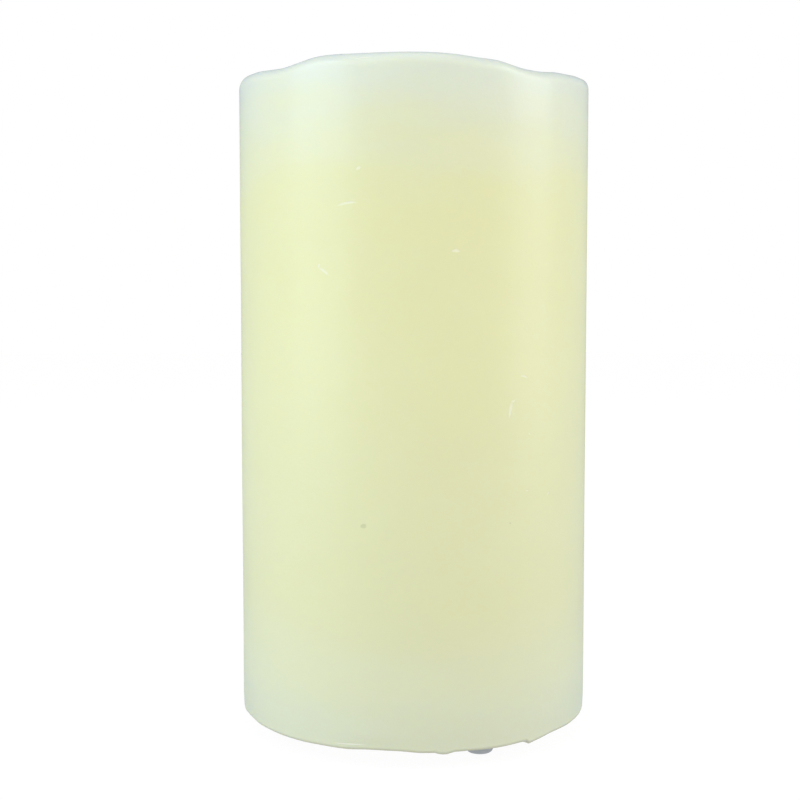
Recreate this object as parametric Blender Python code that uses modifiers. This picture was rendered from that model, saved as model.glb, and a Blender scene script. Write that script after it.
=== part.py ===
"""Flameless LED pillar candle: a hollow wax pillar over a round battery base, lit by a lamp on a stem.

Metres, +Z up. The origin is on the surface that the candle stands on, under its centre, and the candle's
front is -Y. Angles round the candle are measured from the front towards +X.

From the bottom up: four rubber feet plug into the base plate, which carries the battery bay, a hinged
battery door and a slide switch. A cap screwed to the plate holds the lamp's stem. The lamp stands at the
top of the stem, in a hole through the wax, under a flame-shaped diffuser in the melted pool.
"""

import math

import bmesh
import bpy
from mathutils import Vector

# ---------------------------------------------------------------- driving dimensions
GAP = 0.0003  # left between pieces that touch

WAX_RADIUS = 0.040
WAX_WALL = 0.006
WAX_FOOT = 0.0043  # height of the wax's lower edge: the feet stand out below it
LIP_HEIGHT = 0.1464  # top of the melted lip where it is lowest
LIP_RADIUS = 0.0024
LIP_CRESTS = (  # (degrees from the front, rise, half width in degrees)
    (8, 0.0023, 34),
    (77, 0.0007, 13),
    (122, 0.0030, 34),
    (178, 0.0015, 24),
    (-118, 0.0034, 32),
    (-62, 0.0018, 30),
)
WAVE_START = 0.128  # below this height the melted lip's waves have died out
POOL_FLOOR = 0.126
POOL_POWER = 7  # how square the pool's bowl is
CAVITY_TOP = 0.117
LAMP_HOLE_RADIUS = 0.0053
WAX_STEPS = 48

PLATE_RADIUS = 0.0335
PLATE_BOTTOM = 0.0051
PLATE_TOP = 0.0081
PLATE_STEPS = 48

CELL_RADIUS = 0.00515  # size AAA
CELL_LENGTH = 0.0445
CELL_PITCH = 0.01065
CELL_COUNT = 3

DOOR_BOTTOM = 0.0053
DOOR_THICKNESS = 0.0024
DOOR_CLEARANCE = 0.00035

BAY_WALL = 0.0012
CONTACT_THICKNESS = 0.0004
CONTACT_DIMPLE = 0.0005
SPRING_LENGTH = 0.0025
SPRING_WIRE = 0.0003
SPRING_TURNS = 2.25

HOUSING_RADIUS = 0.0334
HOUSING_WALL = 0.0015
HOUSING_TOP = 0.0280
HOUSING_ROOF = 0.0018

STEM_RADIUS = 0.0045
STEM_BORE = 0.0030
STEM_TOP = 0.1162
SOCKET_TOP = 0.0390

FOOT_RADIUS = 0.0030
FOOT_CIRCLE = 0.0299
SCREW_PLACE = (0.0115, 0.0270)
SCREW_SHANK = 0.00115

SWITCH_Y = -0.0246
SWITCH_TRAVEL = 0.0036

LED_RADIUS = 0.0025
LED_LENGTH = 0.0086
LEAD_X = 0.0013
FLAME_TIP = 0.1458
WIRE_RADIUS = 0.00055

# ---------------------------------------------------------------- worked-out dimensions
BAY_LENGTH = CELL_LENGTH + 0.0053  # inside, with room for the contacts and springs
BAY_WIDTH = CELL_COUNT * CELL_PITCH + 0.00015
DOOR_TOP = DOOR_BOTTOM + DOOR_THICKNESS
CELL_AXIS_Z = DOOR_TOP + DOOR_CLEARANCE + CELL_RADIUS
BAY_ROOF = CELL_AXIS_Z + CELL_RADIUS + DOOR_CLEARANCE
BAY_TOP = BAY_ROOF + BAY_WALL
HINGE_Z = DOOR_BOTTOM + DOOR_THICKNESS / 2
HINGE_X = -(BAY_LENGTH / 2 - GAP - DOOR_THICKNESS / 2)
CONTACT_X = BAY_LENGTH / 2 - GAP - CONTACT_THICKNESS / 2
CONTACT_FACE = CONTACT_X - CONTACT_THICKNESS / 2
CELL_OFFSET = CONTACT_FACE - CONTACT_DIMPLE - GAP - CELL_LENGTH / 2
FOOT_OFFSET = FOOT_CIRCLE * math.sqrt(0.5)


# ---------------------------------------------------------------- finishes and collections
def finish(name, colour, roughness, metallic=0.0):
    material = bpy.data.materials.new(name)
    material.use_nodes = True
    shader = material.node_tree.nodes["Principled BSDF"]
    shader.inputs["Base Color"].default_value = (*colour, 1.0)
    shader.inputs["Roughness"].default_value = roughness
    shader.inputs["Metallic"].default_value = metallic
    return material


def new_collection(name):
    collection = bpy.data.collections.new(name)
    bpy.context.scene.collection.children.link(collection)
    return collection


for old in list(bpy.data.objects):
    bpy.data.objects.remove(old)

PARTS = new_collection("led_candle")
TOOLS = new_collection("cutters")

IVORY_WAX = finish("ivory_wax", (0.78, 0.80, 0.52), 0.42)
WHITE_PLASTIC = finish("white_plastic", (0.80, 0.82, 0.80), 0.38)
FROSTED_PLASTIC = finish("frosted_plastic", (0.93, 0.84, 0.62), 0.30)
GREY_RUBBER = finish("grey_rubber", (0.48, 0.52, 0.55), 0.75)
NICKEL = finish("nickel", (0.72, 0.70, 0.66), 0.25, 1.0)
STEEL = finish("zinc_steel", (0.62, 0.63, 0.64), 0.35, 1.0)
CELL_SLEEVE = finish("cell_sleeve", (0.05, 0.09, 0.22), 0.30)
BOARD_GREEN = finish("board_green", (0.02, 0.22, 0.09), 0.45)
BLACK_RESIN = finish("black_resin", (0.02, 0.02, 0.02), 0.45)
RESISTOR_TAN = finish("resistor_tan", (0.65, 0.50, 0.30), 0.50)
AMBER_EPOXY = finish("amber_epoxy", (0.90, 0.55, 0.15), 0.10)
RED_PVC = finish("red_pvc", (0.60, 0.02, 0.02), 0.45)
BLACK_PVC = finish("black_pvc", (0.02, 0.02, 0.02), 0.45)


# ---------------------------------------------------------------- modelling helpers
def placed(obj, material):
    """Moves a new object to the parts' collection, gives it its finish and shades its round sides smooth."""
    for holder in list(obj.users_collection):
        holder.objects.unlink(obj)
    PARTS.objects.link(obj)
    if material:
        obj.data.materials.clear()
        obj.data.materials.append(material)
    if obj.type == "MESH":
        obj.data.shade_smooth()
        obj.data.set_sharp_from_angle(angle=math.radians(35))
    return obj


def box(name, size, centre, material=None):
    bpy.ops.mesh.primitive_cube_add(size=1, location=centre)
    obj = bpy.context.object
    obj.name = name
    obj.scale = size
    bpy.ops.object.transform_apply(location=False, rotation=False, scale=True)
    return placed(obj, material)


def cylinder(name, radius, bottom, top, place=(0, 0), material=None, sides=24):
    """An upright cylinder between two heights."""
    bpy.ops.mesh.primitive_cylinder_add(
        vertices=sides,
        radius=radius,
        depth=top - bottom,
        location=(place[0], place[1], (bottom + top) / 2),
    )
    obj = bpy.context.object
    obj.name = name
    return placed(obj, material)


def pin_along_y(name, radius, length, x, z, sides=16):
    """A cylinder across the candle, from side to side."""
    bpy.ops.mesh.primitive_cylinder_add(
        vertices=sides,
        radius=radius,
        depth=length,
        location=(x, 0, z),
        rotation=(math.pi / 2, 0, 0),
    )
    obj = bpy.context.object
    obj.name = name
    return placed(obj, None)


def turned(name, profile, material=None, steps=32):
    """A profile of (radius, height) points turned about Z. It runs down its outer side."""
    ring = profile[0][0] > 0 and profile[-1][0] > 0
    last = len(profile) - 1
    edges = [(i, i + 1) for i in range(last)]
    if ring:
        edges.append((last, 0))
    mesh = bpy.data.meshes.new(name)
    mesh.from_pydata([(radius, 0, height) for radius, height in profile], edges, [])
    obj = bpy.data.objects.new(name, mesh)
    turn = obj.modifiers.new("Turn", "SCREW")
    turn.steps = steps
    turn.render_steps = steps
    turn.use_merge_vertices = True
    turn.merge_threshold = 0.00001
    turn.use_smooth_shade = True
    return placed(obj, material)


def arc(centre, radius, start, end, count):
    """Points on a circle in a profile's plane, between two angles in degrees."""
    angles = [math.radians(start + (end - start) * i / (count - 1)) for i in range(count)]
    return [(centre[0] + radius * math.cos(a), centre[1] + radius * math.sin(a)) for a in angles]


def made_mesh(obj):
    """The object with its curve or modifiers turned into a plain mesh, its loose caps welded."""
    bpy.context.view_layer.update()
    evaluated = obj.evaluated_get(bpy.context.evaluated_depsgraph_get())
    mesh = bpy.data.meshes.new_from_object(evaluated)
    weld = bmesh.new()
    weld.from_mesh(mesh)
    bmesh.ops.remove_doubles(weld, verts=weld.verts, dist=0.000001)
    weld.to_mesh(mesh)
    weld.free()
    made = bpy.data.objects.new(obj.name, mesh)
    made.matrix_world = obj.matrix_world.copy()
    name = obj.name
    bpy.data.objects.remove(obj)
    made.name = name
    return made


def tube(name, points, radius, material):
    """A wire or coil: a poly curve through the points, with closed ends."""
    curve = bpy.data.curves.new(name, "CURVE")
    curve.dimensions = "3D"
    curve.bevel_depth = radius
    curve.bevel_resolution = 2
    curve.use_fill_caps = True
    line = curve.splines.new("POLY")
    line.points.add(len(points) - 1)
    for knot, point in zip(line.points, points):
        knot.co = (*point, 1.0)
    return placed(bpy.data.objects.new(name, curve), material)


def smooth_route(knots):
    """Points on a Catmull-Rom curve through the knots, four to a span."""
    per_span = 4
    knots = [Vector(k) for k in knots]
    padded = [2 * knots[0] - knots[1], *knots, 2 * knots[-1] - knots[-2]]
    route = []
    for i in range(1, len(padded) - 2):
        before, here, after, later = padded[i - 1 : i + 3]
        for step in range(per_span):
            t = step / per_span
            route.append(
                0.5
                * (
                    2 * here
                    + (after - before) * t
                    + (2 * before - 5 * here + 4 * after - later) * t**2
                    + (3 * here - before - 3 * after + later) * t**3
                )
            )
    route.append(knots[-1])
    return route


def outline_along_y(name, outline, thickness, material=None):
    """An outline of (x, z) points extruded from side to side, as a plain mesh."""
    curve = bpy.data.curves.new(name, "CURVE")
    curve.dimensions = "2D"
    curve.fill_mode = "BOTH"
    curve.extrude = thickness / 2
    line = curve.splines.new("POLY")
    line.use_cyclic_u = True
    line.points.add(len(outline) - 1)
    for knot, (x, z) in zip(line.points, outline):
        knot.co = (x, z, 0, 1.0)
    obj = bpy.data.objects.new(name, curve)
    PARTS.objects.link(obj)
    obj.rotation_euler = (math.pi / 2, 0, 0)
    return placed(made_mesh(obj), material)


def use_as_tool(body, tool, operation):
    boolean = body.modifiers.new(tool.name, "BOOLEAN")
    boolean.operation = operation
    boolean.object = tool
    boolean.solver = "EXACT"
    tool.hide_render = True
    tool.display_type = "WIRE"
    for holder in list(tool.users_collection):
        holder.objects.unlink(tool)
    TOOLS.objects.link(tool)


def join(body, *pieces):
    for piece in pieces:
        use_as_tool(body, piece, "UNION")


def cut(body, *cutters):
    for cutter in cutters:
        use_as_tool(body, cutter, "DIFFERENCE")


def corners(x, y):
    """The four places at plus and minus x and y, front right first and then round the candle."""
    return [(x, -y), (x, y), (-x, y), (-x, -y)]


# ---------------------------------------------------------------- wax
def lip_rise(degrees):
    """How far the melted lip stands above its lowest height, at an angle from the front."""
    rise = 0.0
    for centre, height, spread in LIP_CRESTS:
        away = (degrees - centre + 180) % 360 - 180
        rise += height * math.exp(-((away / spread) ** 4))
    return rise


def wax_profile():
    """The wax's section: down the outside, up the battery cavity, through the floor and out over the lip."""
    inner = WAX_RADIUS - WAX_WALL
    lip_z = LIP_HEIGHT - LIP_RADIUS
    lip_x = WAX_RADIUS - LIP_RADIUS
    pool_radius = lip_x - LIP_RADIUS
    shoulder = 0.0045
    outside = [(WAX_RADIUS, lip_z), (WAX_RADIUS, WAVE_START)]
    outside += arc((WAX_RADIUS - 0.0012, WAX_FOOT + 0.0012), 0.0012, 0, -90, 3)
    cavity = [(inner + 0.0006, WAX_FOOT), (inner, WAX_FOOT + 0.0006)]
    cavity += arc((inner - shoulder, CAVITY_TOP - shoulder), shoulder, 0, 90, 4)
    hole = [
        (LAMP_HOLE_RADIUS, CAVITY_TOP),
        (LAMP_HOLE_RADIUS, POOL_FLOOR - 0.0005),
        (LAMP_HOLE_RADIUS + 0.0005, POOL_FLOOR),
    ]
    pool = []
    for share in (0.50, 0.70, 0.82, 0.90, 0.96):
        pool.append((pool_radius * share, POOL_FLOOR + (lip_z - POOL_FLOOR) * share**POOL_POWER))
    lip = arc((lip_x, lip_z), LIP_RADIUS, 180, 0, 8)[:-1]
    return outside + cavity + hole + pool + lip


def make_wax_shell():
    """Cast wax: turned, then its lip raised and lowered round the candle as if it had melted."""
    shell = placed(made_mesh(turned("wax_shell", wax_profile(), steps=WAX_STEPS)), IVORY_WAX)
    for vertex in shell.data.vertices:
        x, y, z = vertex.co
        share = min(max((z - WAVE_START) / (LIP_HEIGHT - WAVE_START), 0.0), 1.0)
        weight = share * share * (3 - 2 * share)
        vertex.co.z += weight * lip_rise(math.degrees(math.atan2(x, -y)))


# ---------------------------------------------------------------- base plate and battery bay
def make_base_housing():
    """One moulding: the round plate and the battery bay that stands on it."""
    chamfer = 0.0005
    profile = [
        (0, PLATE_TOP),
        (PLATE_RADIUS, PLATE_TOP),
        (PLATE_RADIUS, PLATE_BOTTOM + chamfer),
        (PLATE_RADIUS - chamfer, PLATE_BOTTOM),
        (0, PLATE_BOTTOM),
    ]
    housing = turned("base_housing", profile, WHITE_PLASTIC, PLATE_STEPS)
    below = PLATE_BOTTOM - 0.001

    bay = box(
        "bay_walls",
        (BAY_LENGTH + 2 * BAY_WALL, BAY_WIDTH + 2 * BAY_WALL, BAY_TOP - PLATE_TOP + 0.001),
        (0, 0, (BAY_TOP + PLATE_TOP - 0.001) / 2),
    )
    join(housing, bay)
    post_place = (0.0067, -0.0283)
    for side in (-1, 1):
        place = (side * post_place[0], post_place[1])
        join(
            housing,
            cylinder(f"board_post_{side}", 0.0012, PLATE_TOP - 0.001, 0.0121, place, sides=16),
            cylinder(f"board_peg_{side}", 0.0006, 0.0115, 0.0144, place, sides=12),
        )

    inside = box(
        "bay_inside",
        (BAY_LENGTH, BAY_WIDTH, BAY_ROOF - below),
        (0, 0, (BAY_ROOF + below) / 2),
    )
    cut(housing, inside)
    notch_centre = BAY_LENGTH / 2 - 0.0007
    cut(housing, cylinder("finger_notch", 0.0046, below, 0.0069, (notch_centre, 0), sides=32))
    cut(housing, pin_along_y("hinge_holes", 0.0009, BAY_WIDTH + 0.0021, HINGE_X, HINGE_Z))
    for end in (-1, 1):
        slot_place = (end * (BAY_LENGTH / 2 - 0.00045), end * CELL_PITCH, BAY_TOP)
        cut(housing, box(f"tab_slot_{end}", (0.0011, 0.0037, 0.0040), slot_place))

    for i, place in enumerate(corners(FOOT_OFFSET, FOOT_OFFSET)):
        cut(housing, cylinder(f"foot_hole_{i}", 0.0015, below, PLATE_TOP + 0.001, place, sides=16))
    for i, place in enumerate(corners(*SCREW_PLACE)):
        cut(
            housing,
            cylinder(f"head_pocket_{i}", 0.0029, below, PLATE_TOP - 0.0009, place),
            cylinder(f"shank_hole_{i}", 0.0015, below, PLATE_TOP + 0.001, place, sides=16),
        )
    pocket = box(
        "switch_pocket",
        (0.0124, 0.0066, 0.0018),
        (0, SWITCH_Y, PLATE_BOTTOM - 0.0001),
    )
    slot = box(
        "switch_slot",
        (SWITCH_TRAVEL + 0.0041, 0.0032, 0.010),
        (0, SWITCH_Y, PLATE_BOTTOM),
    )
    cut(housing, pocket, slot)


def make_battery_door():
    """A ribbed panel with a rounded hinge edge, two hinge pins and a finger tab at its free end."""
    free_end = BAY_LENGTH / 2 - DOOR_CLEARANCE
    width = BAY_WIDTH - 2 * DOOR_CLEARANCE
    outline = [(free_end, DOOR_BOTTOM), (free_end, DOOR_TOP)]
    outline += arc((HINGE_X, HINGE_Z), DOOR_THICKNESS / 2, 90, 270, 9)
    door = outline_along_y("battery_door", outline, width, WHITE_PLASTIC)
    join(door, pin_along_y("hinge_pins", 0.0006, BAY_WIDTH + 0.0012, HINGE_X, HINGE_Z, 12))
    tab_centre = (BAY_LENGTH / 2 - 0.0007, 0)
    join(door, cylinder("finger_tab", 0.0034, DOOR_BOTTOM + 0.0001, DOOR_BOTTOM + 0.0012, tab_centre))
    rib = 0.0020
    hollow_start = HINGE_X + DOOR_THICKNESS / 2 + rib
    hollow_end = free_end - rib
    hollow = box(
        "door_hollow",
        (hollow_end - hollow_start, width - 2 * rib, 0.0020),
        ((hollow_end + hollow_start) / 2, 0, DOOR_TOP),
    )
    cut(door, hollow)


def make_foot(number, place):
    """A rubber foot with a peg that plugs into the plate."""
    rest = PLATE_BOTTOM - GAP
    edge = 0.0009
    profile = [
        (0, PLATE_TOP + 0.0010),
        (0.0009, PLATE_TOP + 0.0010),
        (0.0012, PLATE_TOP + 0.0006),
        (0.0012, rest),
        (FOOT_RADIUS, rest),
        *arc((FOOT_RADIUS - edge, edge), edge, 0, -90, 5),
        (0, 0),
    ]
    foot = turned(f"foot_{number}", profile, GREY_RUBBER, 20)
    foot.location = (*place, 0)


def make_screw(number, place):
    """A pan-head self-tapping screw, driven up through the plate into the cap's boss."""
    head_bottom = PLATE_BOTTOM + 0.0003
    bearing = PLATE_TOP - 0.0009 - GAP
    tip = bearing + 0.0105
    profile = [
        (0, tip),
        (0.0004, tip - 0.0002),
        (SCREW_SHANK, tip - 0.0022),
        (SCREW_SHANK, bearing),
        (0.0025, bearing),
        (0.0025, head_bottom + 0.0006),
        (0.0018, head_bottom),
        (0, head_bottom),
    ]
    screw = turned(f"screw_{number}", profile, STEEL, 16)
    screw.location = (*place, 0)
    for turn in (0, 1):
        arms = [0.0028, 0.0006, 0.0018]
        arms[0], arms[1] = arms[turn], arms[1 - turn]
        cut(screw, box(f"cross_{number}_{turn}", arms, (*place, head_bottom)))


# ---------------------------------------------------------------- batteries and contacts
def make_cell(number, y, toward):
    """A size AAA cell lying along X, its positive end towards +X or -X."""
    half = CELL_LENGTH / 2
    body = half - 0.0008
    profile = [
        (0, half),
        (0.0019, half),
        (0.0019, body),
        (CELL_RADIUS - 0.0004, body),
        (CELL_RADIUS, body - 0.0004),
        (CELL_RADIUS, 0.0004 - half),
        (CELL_RADIUS - 0.0004, -half),
        (0, -half),
    ]
    cell = turned(f"battery_{number}", profile, CELL_SLEEVE, 24)
    cell.rotation_euler = (0, toward * math.pi / 2, 0)
    cell.location = (toward * CELL_OFFSET, y, CELL_AXIS_Z)


def make_spring(number, y, end):
    """A conical coil between its contact plate and the cell's negative end."""
    wide, narrow = 0.0034, 0.0022
    start = CONTACT_FACE - GAP - SPRING_WIRE
    rise = SPRING_LENGTH - 2 * SPRING_WIRE
    steps = round(SPRING_TURNS * 10)
    points = []
    for i in range(steps + 1):
        share = i / steps
        turn = 2 * math.pi * SPRING_TURNS * share
        radius = wide + (narrow - wide) * share
        x = end * (start - rise * share)
        points.append((x, y + radius * math.cos(turn), CELL_AXIS_Z + radius * math.sin(turn)))
    tube(f"contact_spring_{number}", points, SPRING_WIRE, NICKEL)


def contact_plate(name, end, y_from, y_to):
    """A thin plate that stands against the bay's end wall, behind one cell or two."""
    height = 0.0086
    return box(
        name,
        (CONTACT_THICKNESS, y_to - y_from, height),
        (end * CONTACT_X, (y_from + y_to) / 2, CELL_AXIS_Z),
        NICKEL,
    )


def add_dimple(plate, end, y):
    """The pressed bump that touches a cell's positive button."""
    bpy.ops.mesh.primitive_cone_add(
        vertices=16,
        radius1=0.0022,
        radius2=0.0014,
        depth=CONTACT_DIMPLE + 0.0002,
        location=(end * (CONTACT_FACE - CONTACT_DIMPLE / 2 + 0.0001), y, CELL_AXIS_Z),
        rotation=(0, -end * math.pi / 2, 0),
    )
    dimple = bpy.context.object
    dimple.name = f"{plate.name}_dimple"
    join(plate, placed(dimple, None))


def add_solder_tab(plate, end, y):
    """The tab that goes up through the bay's roof to its wire."""
    bottom, top = CELL_AXIS_Z + 0.003, BAY_TOP + 0.0018
    centre = (end * CONTACT_X, y, (bottom + top) / 2)
    join(plate, box(f"{plate.name}_tab", (0.00036, 0.0028, top - bottom), centre))


def make_contacts():
    """Three cells in series: a terminal at each end of the chain, and two plates that bridge cell to cell."""
    half = 0.0043
    front, middle, back = -CELL_PITCH, 0.0, CELL_PITCH
    negative = contact_plate("negative_terminal", -1, front - half, front + half)
    add_solder_tab(negative, -1, front)
    positive = contact_plate("positive_terminal", 1, back - half, back + half)
    add_solder_tab(positive, 1, back)
    add_dimple(positive, 1, back)
    bridge_right = contact_plate("bridge_contact_right", 1, front - half, middle + half)
    add_dimple(bridge_right, 1, front)
    bridge_left = contact_plate("bridge_contact_left", -1, middle - half, back + half)
    add_dimple(bridge_left, -1, middle)
    for number, (y, toward) in enumerate(((front, 1), (middle, -1), (back, 1)), start=1):
        make_cell(number, y, toward)
        make_spring(number, y, -toward)


# ---------------------------------------------------------------- cap, stem and lamp
def make_inner_housing():
    """The cap over the electronics, with four screw bosses and the socket for the stem."""
    outer, inner = HOUSING_RADIUS, HOUSING_RADIUS - HOUSING_WALL
    bottom = PLATE_TOP + GAP
    ceiling = HOUSING_TOP - HOUSING_ROOF
    bore = STEM_RADIUS + GAP
    collar = bore + 0.0018
    shoulder = 0.0022
    profile = [
        (outer, HOUSING_TOP - shoulder),
        (outer, bottom),
        (inner, bottom),
        (inner, ceiling),
        (0.0032, ceiling),
        (0.0032, HOUSING_TOP + 0.0003),
        (bore, HOUSING_TOP + 0.0003),
        (bore, SOCKET_TOP),
        (collar, SOCKET_TOP),
        (collar, HOUSING_TOP + 0.0015),
        (collar + 0.0015, HOUSING_TOP),
        *arc((outer - shoulder, HOUSING_TOP - shoulder), shoulder, 90, 0, 4)[:-1],
    ]
    cap = turned("inner_housing", profile, WHITE_PLASTIC, PLATE_STEPS)
    for i, place in enumerate(corners(*SCREW_PLACE)):
        join(cap, cylinder(f"boss_{i}", 0.0028, bottom, ceiling + 0.0005, place, sides=20))
        cut(cap, cylinder(f"pilot_{i}", 0.0014, bottom - 0.001, 0.0195, place, sides=12))


def make_stem():
    """The plain tube that carries the lamp up to the wax's floor."""
    bottom = HOUSING_TOP + 0.0003 + GAP
    profile = [
        (STEM_RADIUS, STEM_TOP),
        (STEM_RADIUS, bottom),
        (STEM_BORE, bottom),
        (STEM_BORE, STEM_TOP),
    ]
    turned("lamp_stem", profile, WHITE_PLASTIC, 32)


def make_led_socket():
    """A plug with a flange, which closes the stem and spaces the lamp's leads."""
    plug, flange = STEM_BORE - GAP, STEM_RADIUS
    seat = STEM_TOP + GAP
    top = seat + 0.0012
    profile = [
        (0, top),
        (flange, top),
        (flange, seat),
        (plug, seat),
        (plug, seat - 0.0040),
        (0, seat - 0.0040),
    ]
    socket = turned("led_socket", profile, WHITE_PLASTIC, 24)
    for side in (-1, 1):
        hole = cylinder(f"lead_hole_{side}", 0.0006, seat - 0.006, top + 0.001, (side * LEAD_X, 0), sides=10)
        cut(socket, hole)
    return top


def make_led(bottom):
    """A 5 mm flickering lamp on its two leads."""
    flange = 0.0029
    dome_z = bottom + LED_LENGTH - LED_RADIUS
    dome = arc((0, dome_z), LED_RADIUS, 90, 0, 6)
    profile = [
        (0, dome[0][1]),
        *dome[1:],
        (LED_RADIUS, bottom + 0.0010),
        (flange, bottom + 0.0010),
        (flange, bottom),
        (0, bottom),
    ]
    turned("led_lamp", profile, AMBER_EPOXY, 24)


def make_leads_and_wires(led_bottom, board_top):
    """Leads soldered to wires inside heat-shrink sleeves, and the wires on down to the circuit board."""
    lead_end = led_bottom - 0.0115
    board_z = board_top + GAP
    for side, pole, colour in ((1, "red", RED_PVC), (-1, "black", BLACK_PVC)):
        x = side * LEAD_X
        cylinder(f"led_lead_{pole}", 0.00028, lead_end, led_bottom - GAP, (x, 0), NICKEL, 8)
        sleeve = [(0.0011, 0.004), (0.0011, -0.004), (0.0008, -0.004), (0.0008, 0.004)]
        shrink = turned(f"shrink_sleeve_{pole}", sleeve, BLACK_RESIN, 12)
        shrink.location = (x, 0, lead_end - 0.0003)
        route = [
            (x, 0, lead_end - 0.0006),
            (x, 0, 0.075),
            (x, 0, 0.045),
            (x, -0.0002, 0.0280),
            (side * 0.0016, -0.0036, 0.0232),
            (side * 0.0022, -0.0120, 0.0222),
            (side * 0.0026, -0.0182, 0.0206),
            (side * 0.0028, -0.0206, 0.0172),
            (side * 0.0028, -0.0208, board_z),
        ]
        tube(f"led_wire_{pole}", smooth_route(route), WIRE_RADIUS, colour)

    tab_z = BAY_TOP + 0.0013
    for side, pole, colour in ((1, "red", RED_PVC), (-1, "black", BLACK_PVC)):
        tab_y = side * CELL_PITCH
        start_x = side * (CONTACT_X - 0.0008)
        route = [
            (start_x, tab_y, tab_z),
            (side * 0.0212, tab_y - 0.0022, 0.0222),
            (side * 0.0170, (tab_y - 0.0170) / 2, 0.0228),
            (side * 0.0110, -0.0172, 0.0216),
            (side * 0.0072, -0.0206, 0.0190),
            (side * 0.0064, -0.0212, 0.0165),
            (side * 0.0064, -0.0212, board_z),
        ]
        tube(f"battery_wire_{pole}", smooth_route(route), WIRE_RADIUS, colour)


def make_flame_diffuser(seat):
    """The frosted flame over the lamp. Its neck fills the hole in the wax and its collar lies on the pool's floor."""
    neck = LAMP_HOLE_RADIUS - 0.0004
    collar = 0.0070
    collar_z = POOL_FLOOR + GAP
    body_z = collar_z + 0.0011
    bore = 0.0033
    base_radius, belly_radius, tip_radius = 0.0044, 0.0057, 0.0006
    height = FLAME_TIP - body_z
    flame = []
    for i in range(10):
        share = 1 - i / 9
        swell = base_radius + (belly_radius - base_radius) * math.sin(math.pi * min(share / 0.6, 1))
        taper = math.cos(math.pi / 2 * max(share - 0.12, 0) / 0.88) ** 0.8
        flame.append((max(swell * taper, tip_radius), body_z + height * share))
    profile = [
        (0, FLAME_TIP + 0.0003),
        *flame,
        (collar, body_z),
        (collar, collar_z),
        (neck, collar_z),
        (neck, seat + GAP),
        (bore, seat + GAP),
        (bore, collar_z + 0.0005),
        (bore - 0.0012, collar_z + 0.0030),
        (0, collar_z + 0.0035),
    ]
    turned("flame_diffuser", profile, FROSTED_PLASTIC, 24)


# ---------------------------------------------------------------- switch and circuit board
def make_switch():
    """A slide switch: a slotted case, and the slider whose knob comes out through the plate."""
    bottom = PLATE_TOP + GAP
    case = box("switch_case", (0.0104, 0.0054, 0.0040), (0, SWITCH_Y, bottom + 0.0020), STEEL)
    cavity = box("case_cavity", (0.0090, 0.0042, 0.0022), (0, SWITCH_Y, bottom + 0.0020))
    slot = box("case_slot", (SWITCH_TRAVEL + 0.0041, 0.0032, 0.0030), (0, SWITCH_Y, bottom))
    cut(case, cavity, slot)

    off_x = -SWITCH_TRAVEL / 2
    knob_bottom = WAX_FOOT + 0.0002
    shoe_bottom = bottom + 0.0009 + GAP
    slider = box(
        "switch_slider",
        (0.0034, 0.0025, shoe_bottom + 0.0010 - knob_bottom),
        (off_x, SWITCH_Y, (shoe_bottom + 0.0010 + knob_bottom) / 2),
        BLACK_RESIN,
    )
    shoe = box("slider_shoe", (0.0046, 0.0036, 0.0014), (off_x, SWITCH_Y, shoe_bottom + 0.0007))
    join(slider, shoe)
    for groove in (-1, 0, 1):
        cut(slider, box(f"grip_{groove}", (0.0004, 0.004, 0.0006), (off_x + groove * 0.001, SWITCH_Y, knob_bottom)))
    return bottom + 0.0040


def make_circuit_board(switch_top):
    """The board that times and flickers the lamp, on two pegs of the base and on the switch's case."""
    bottom = switch_top + GAP
    thickness = 0.0010
    centre_y = -0.0240
    board = box(
        "circuit_board",
        (0.0164, 0.0112, thickness),
        (0, centre_y, bottom + thickness / 2),
        BOARD_GREEN,
    )
    for side in (-1, 1):
        cut(board, cylinder(f"peg_hole_{side}", 0.0009, 0.011, 0.015, (side * 0.0067, -0.0283), sides=12))
    top = bottom + thickness
    seat = top + GAP
    box("flicker_chip", (0.0050, 0.0040, 0.0015), (0, -0.0255, seat + 0.00075), BLACK_RESIN)
    resistor = [
        (0, 0.0024),
        (0.0008, 0.0024),
        (0.0010, 0.0020),
        (0.0008, 0.0014),
        (0.0008, -0.0014),
        (0.0010, -0.0020),
        (0.0008, -0.0024),
        (0, -0.0024),
    ]
    for name, x, material in (("led_resistor", -0.0052, RESISTOR_TAN), ("timer_crystal", 0.0052, NICKEL)):
        part = turned(name, resistor, material, 12)
        part.rotation_euler = (math.pi / 2, 0, 0)
        part.location = (x, -0.0248, seat + 0.0010)
    return top


# ---------------------------------------------------------------- the whole candle
def make_candle():
    make_wax_shell()
    make_base_housing()
    make_battery_door()
    for number, place in enumerate(corners(FOOT_OFFSET, FOOT_OFFSET), start=1):
        make_foot(number, place)
    for number, place in enumerate(corners(*SCREW_PLACE), start=1):
        make_screw(number, place)
    make_contacts()
    make_inner_housing()
    make_stem()
    socket_top = make_led_socket()
    led_bottom = socket_top + GAP
    make_led(led_bottom)
    make_flame_diffuser(socket_top)
    switch_top = make_switch()
    board_top = make_circuit_board(switch_top)
    make_leads_and_wires(led_bottom, board_top)


make_candle()
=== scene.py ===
# %% [markdown]
# # A flameless candle in ivory wax
# The real candle is a hollow pillar of cast wax over a round plastic base. The base holds three cells, a
# slide switch and a stem with a lamp, and a frosted flame stands in the melted pool on top. The working
# model arrives as a fixed frame, already at its real size. This lesson makes what the eye sees around it:
# fine meshes that stand for the plain solids, and a procedural finish for every piece.

# %% Load the working model
import math

import bmesh
import bpy
from mathutils import Matrix, Vector, noise


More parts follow.
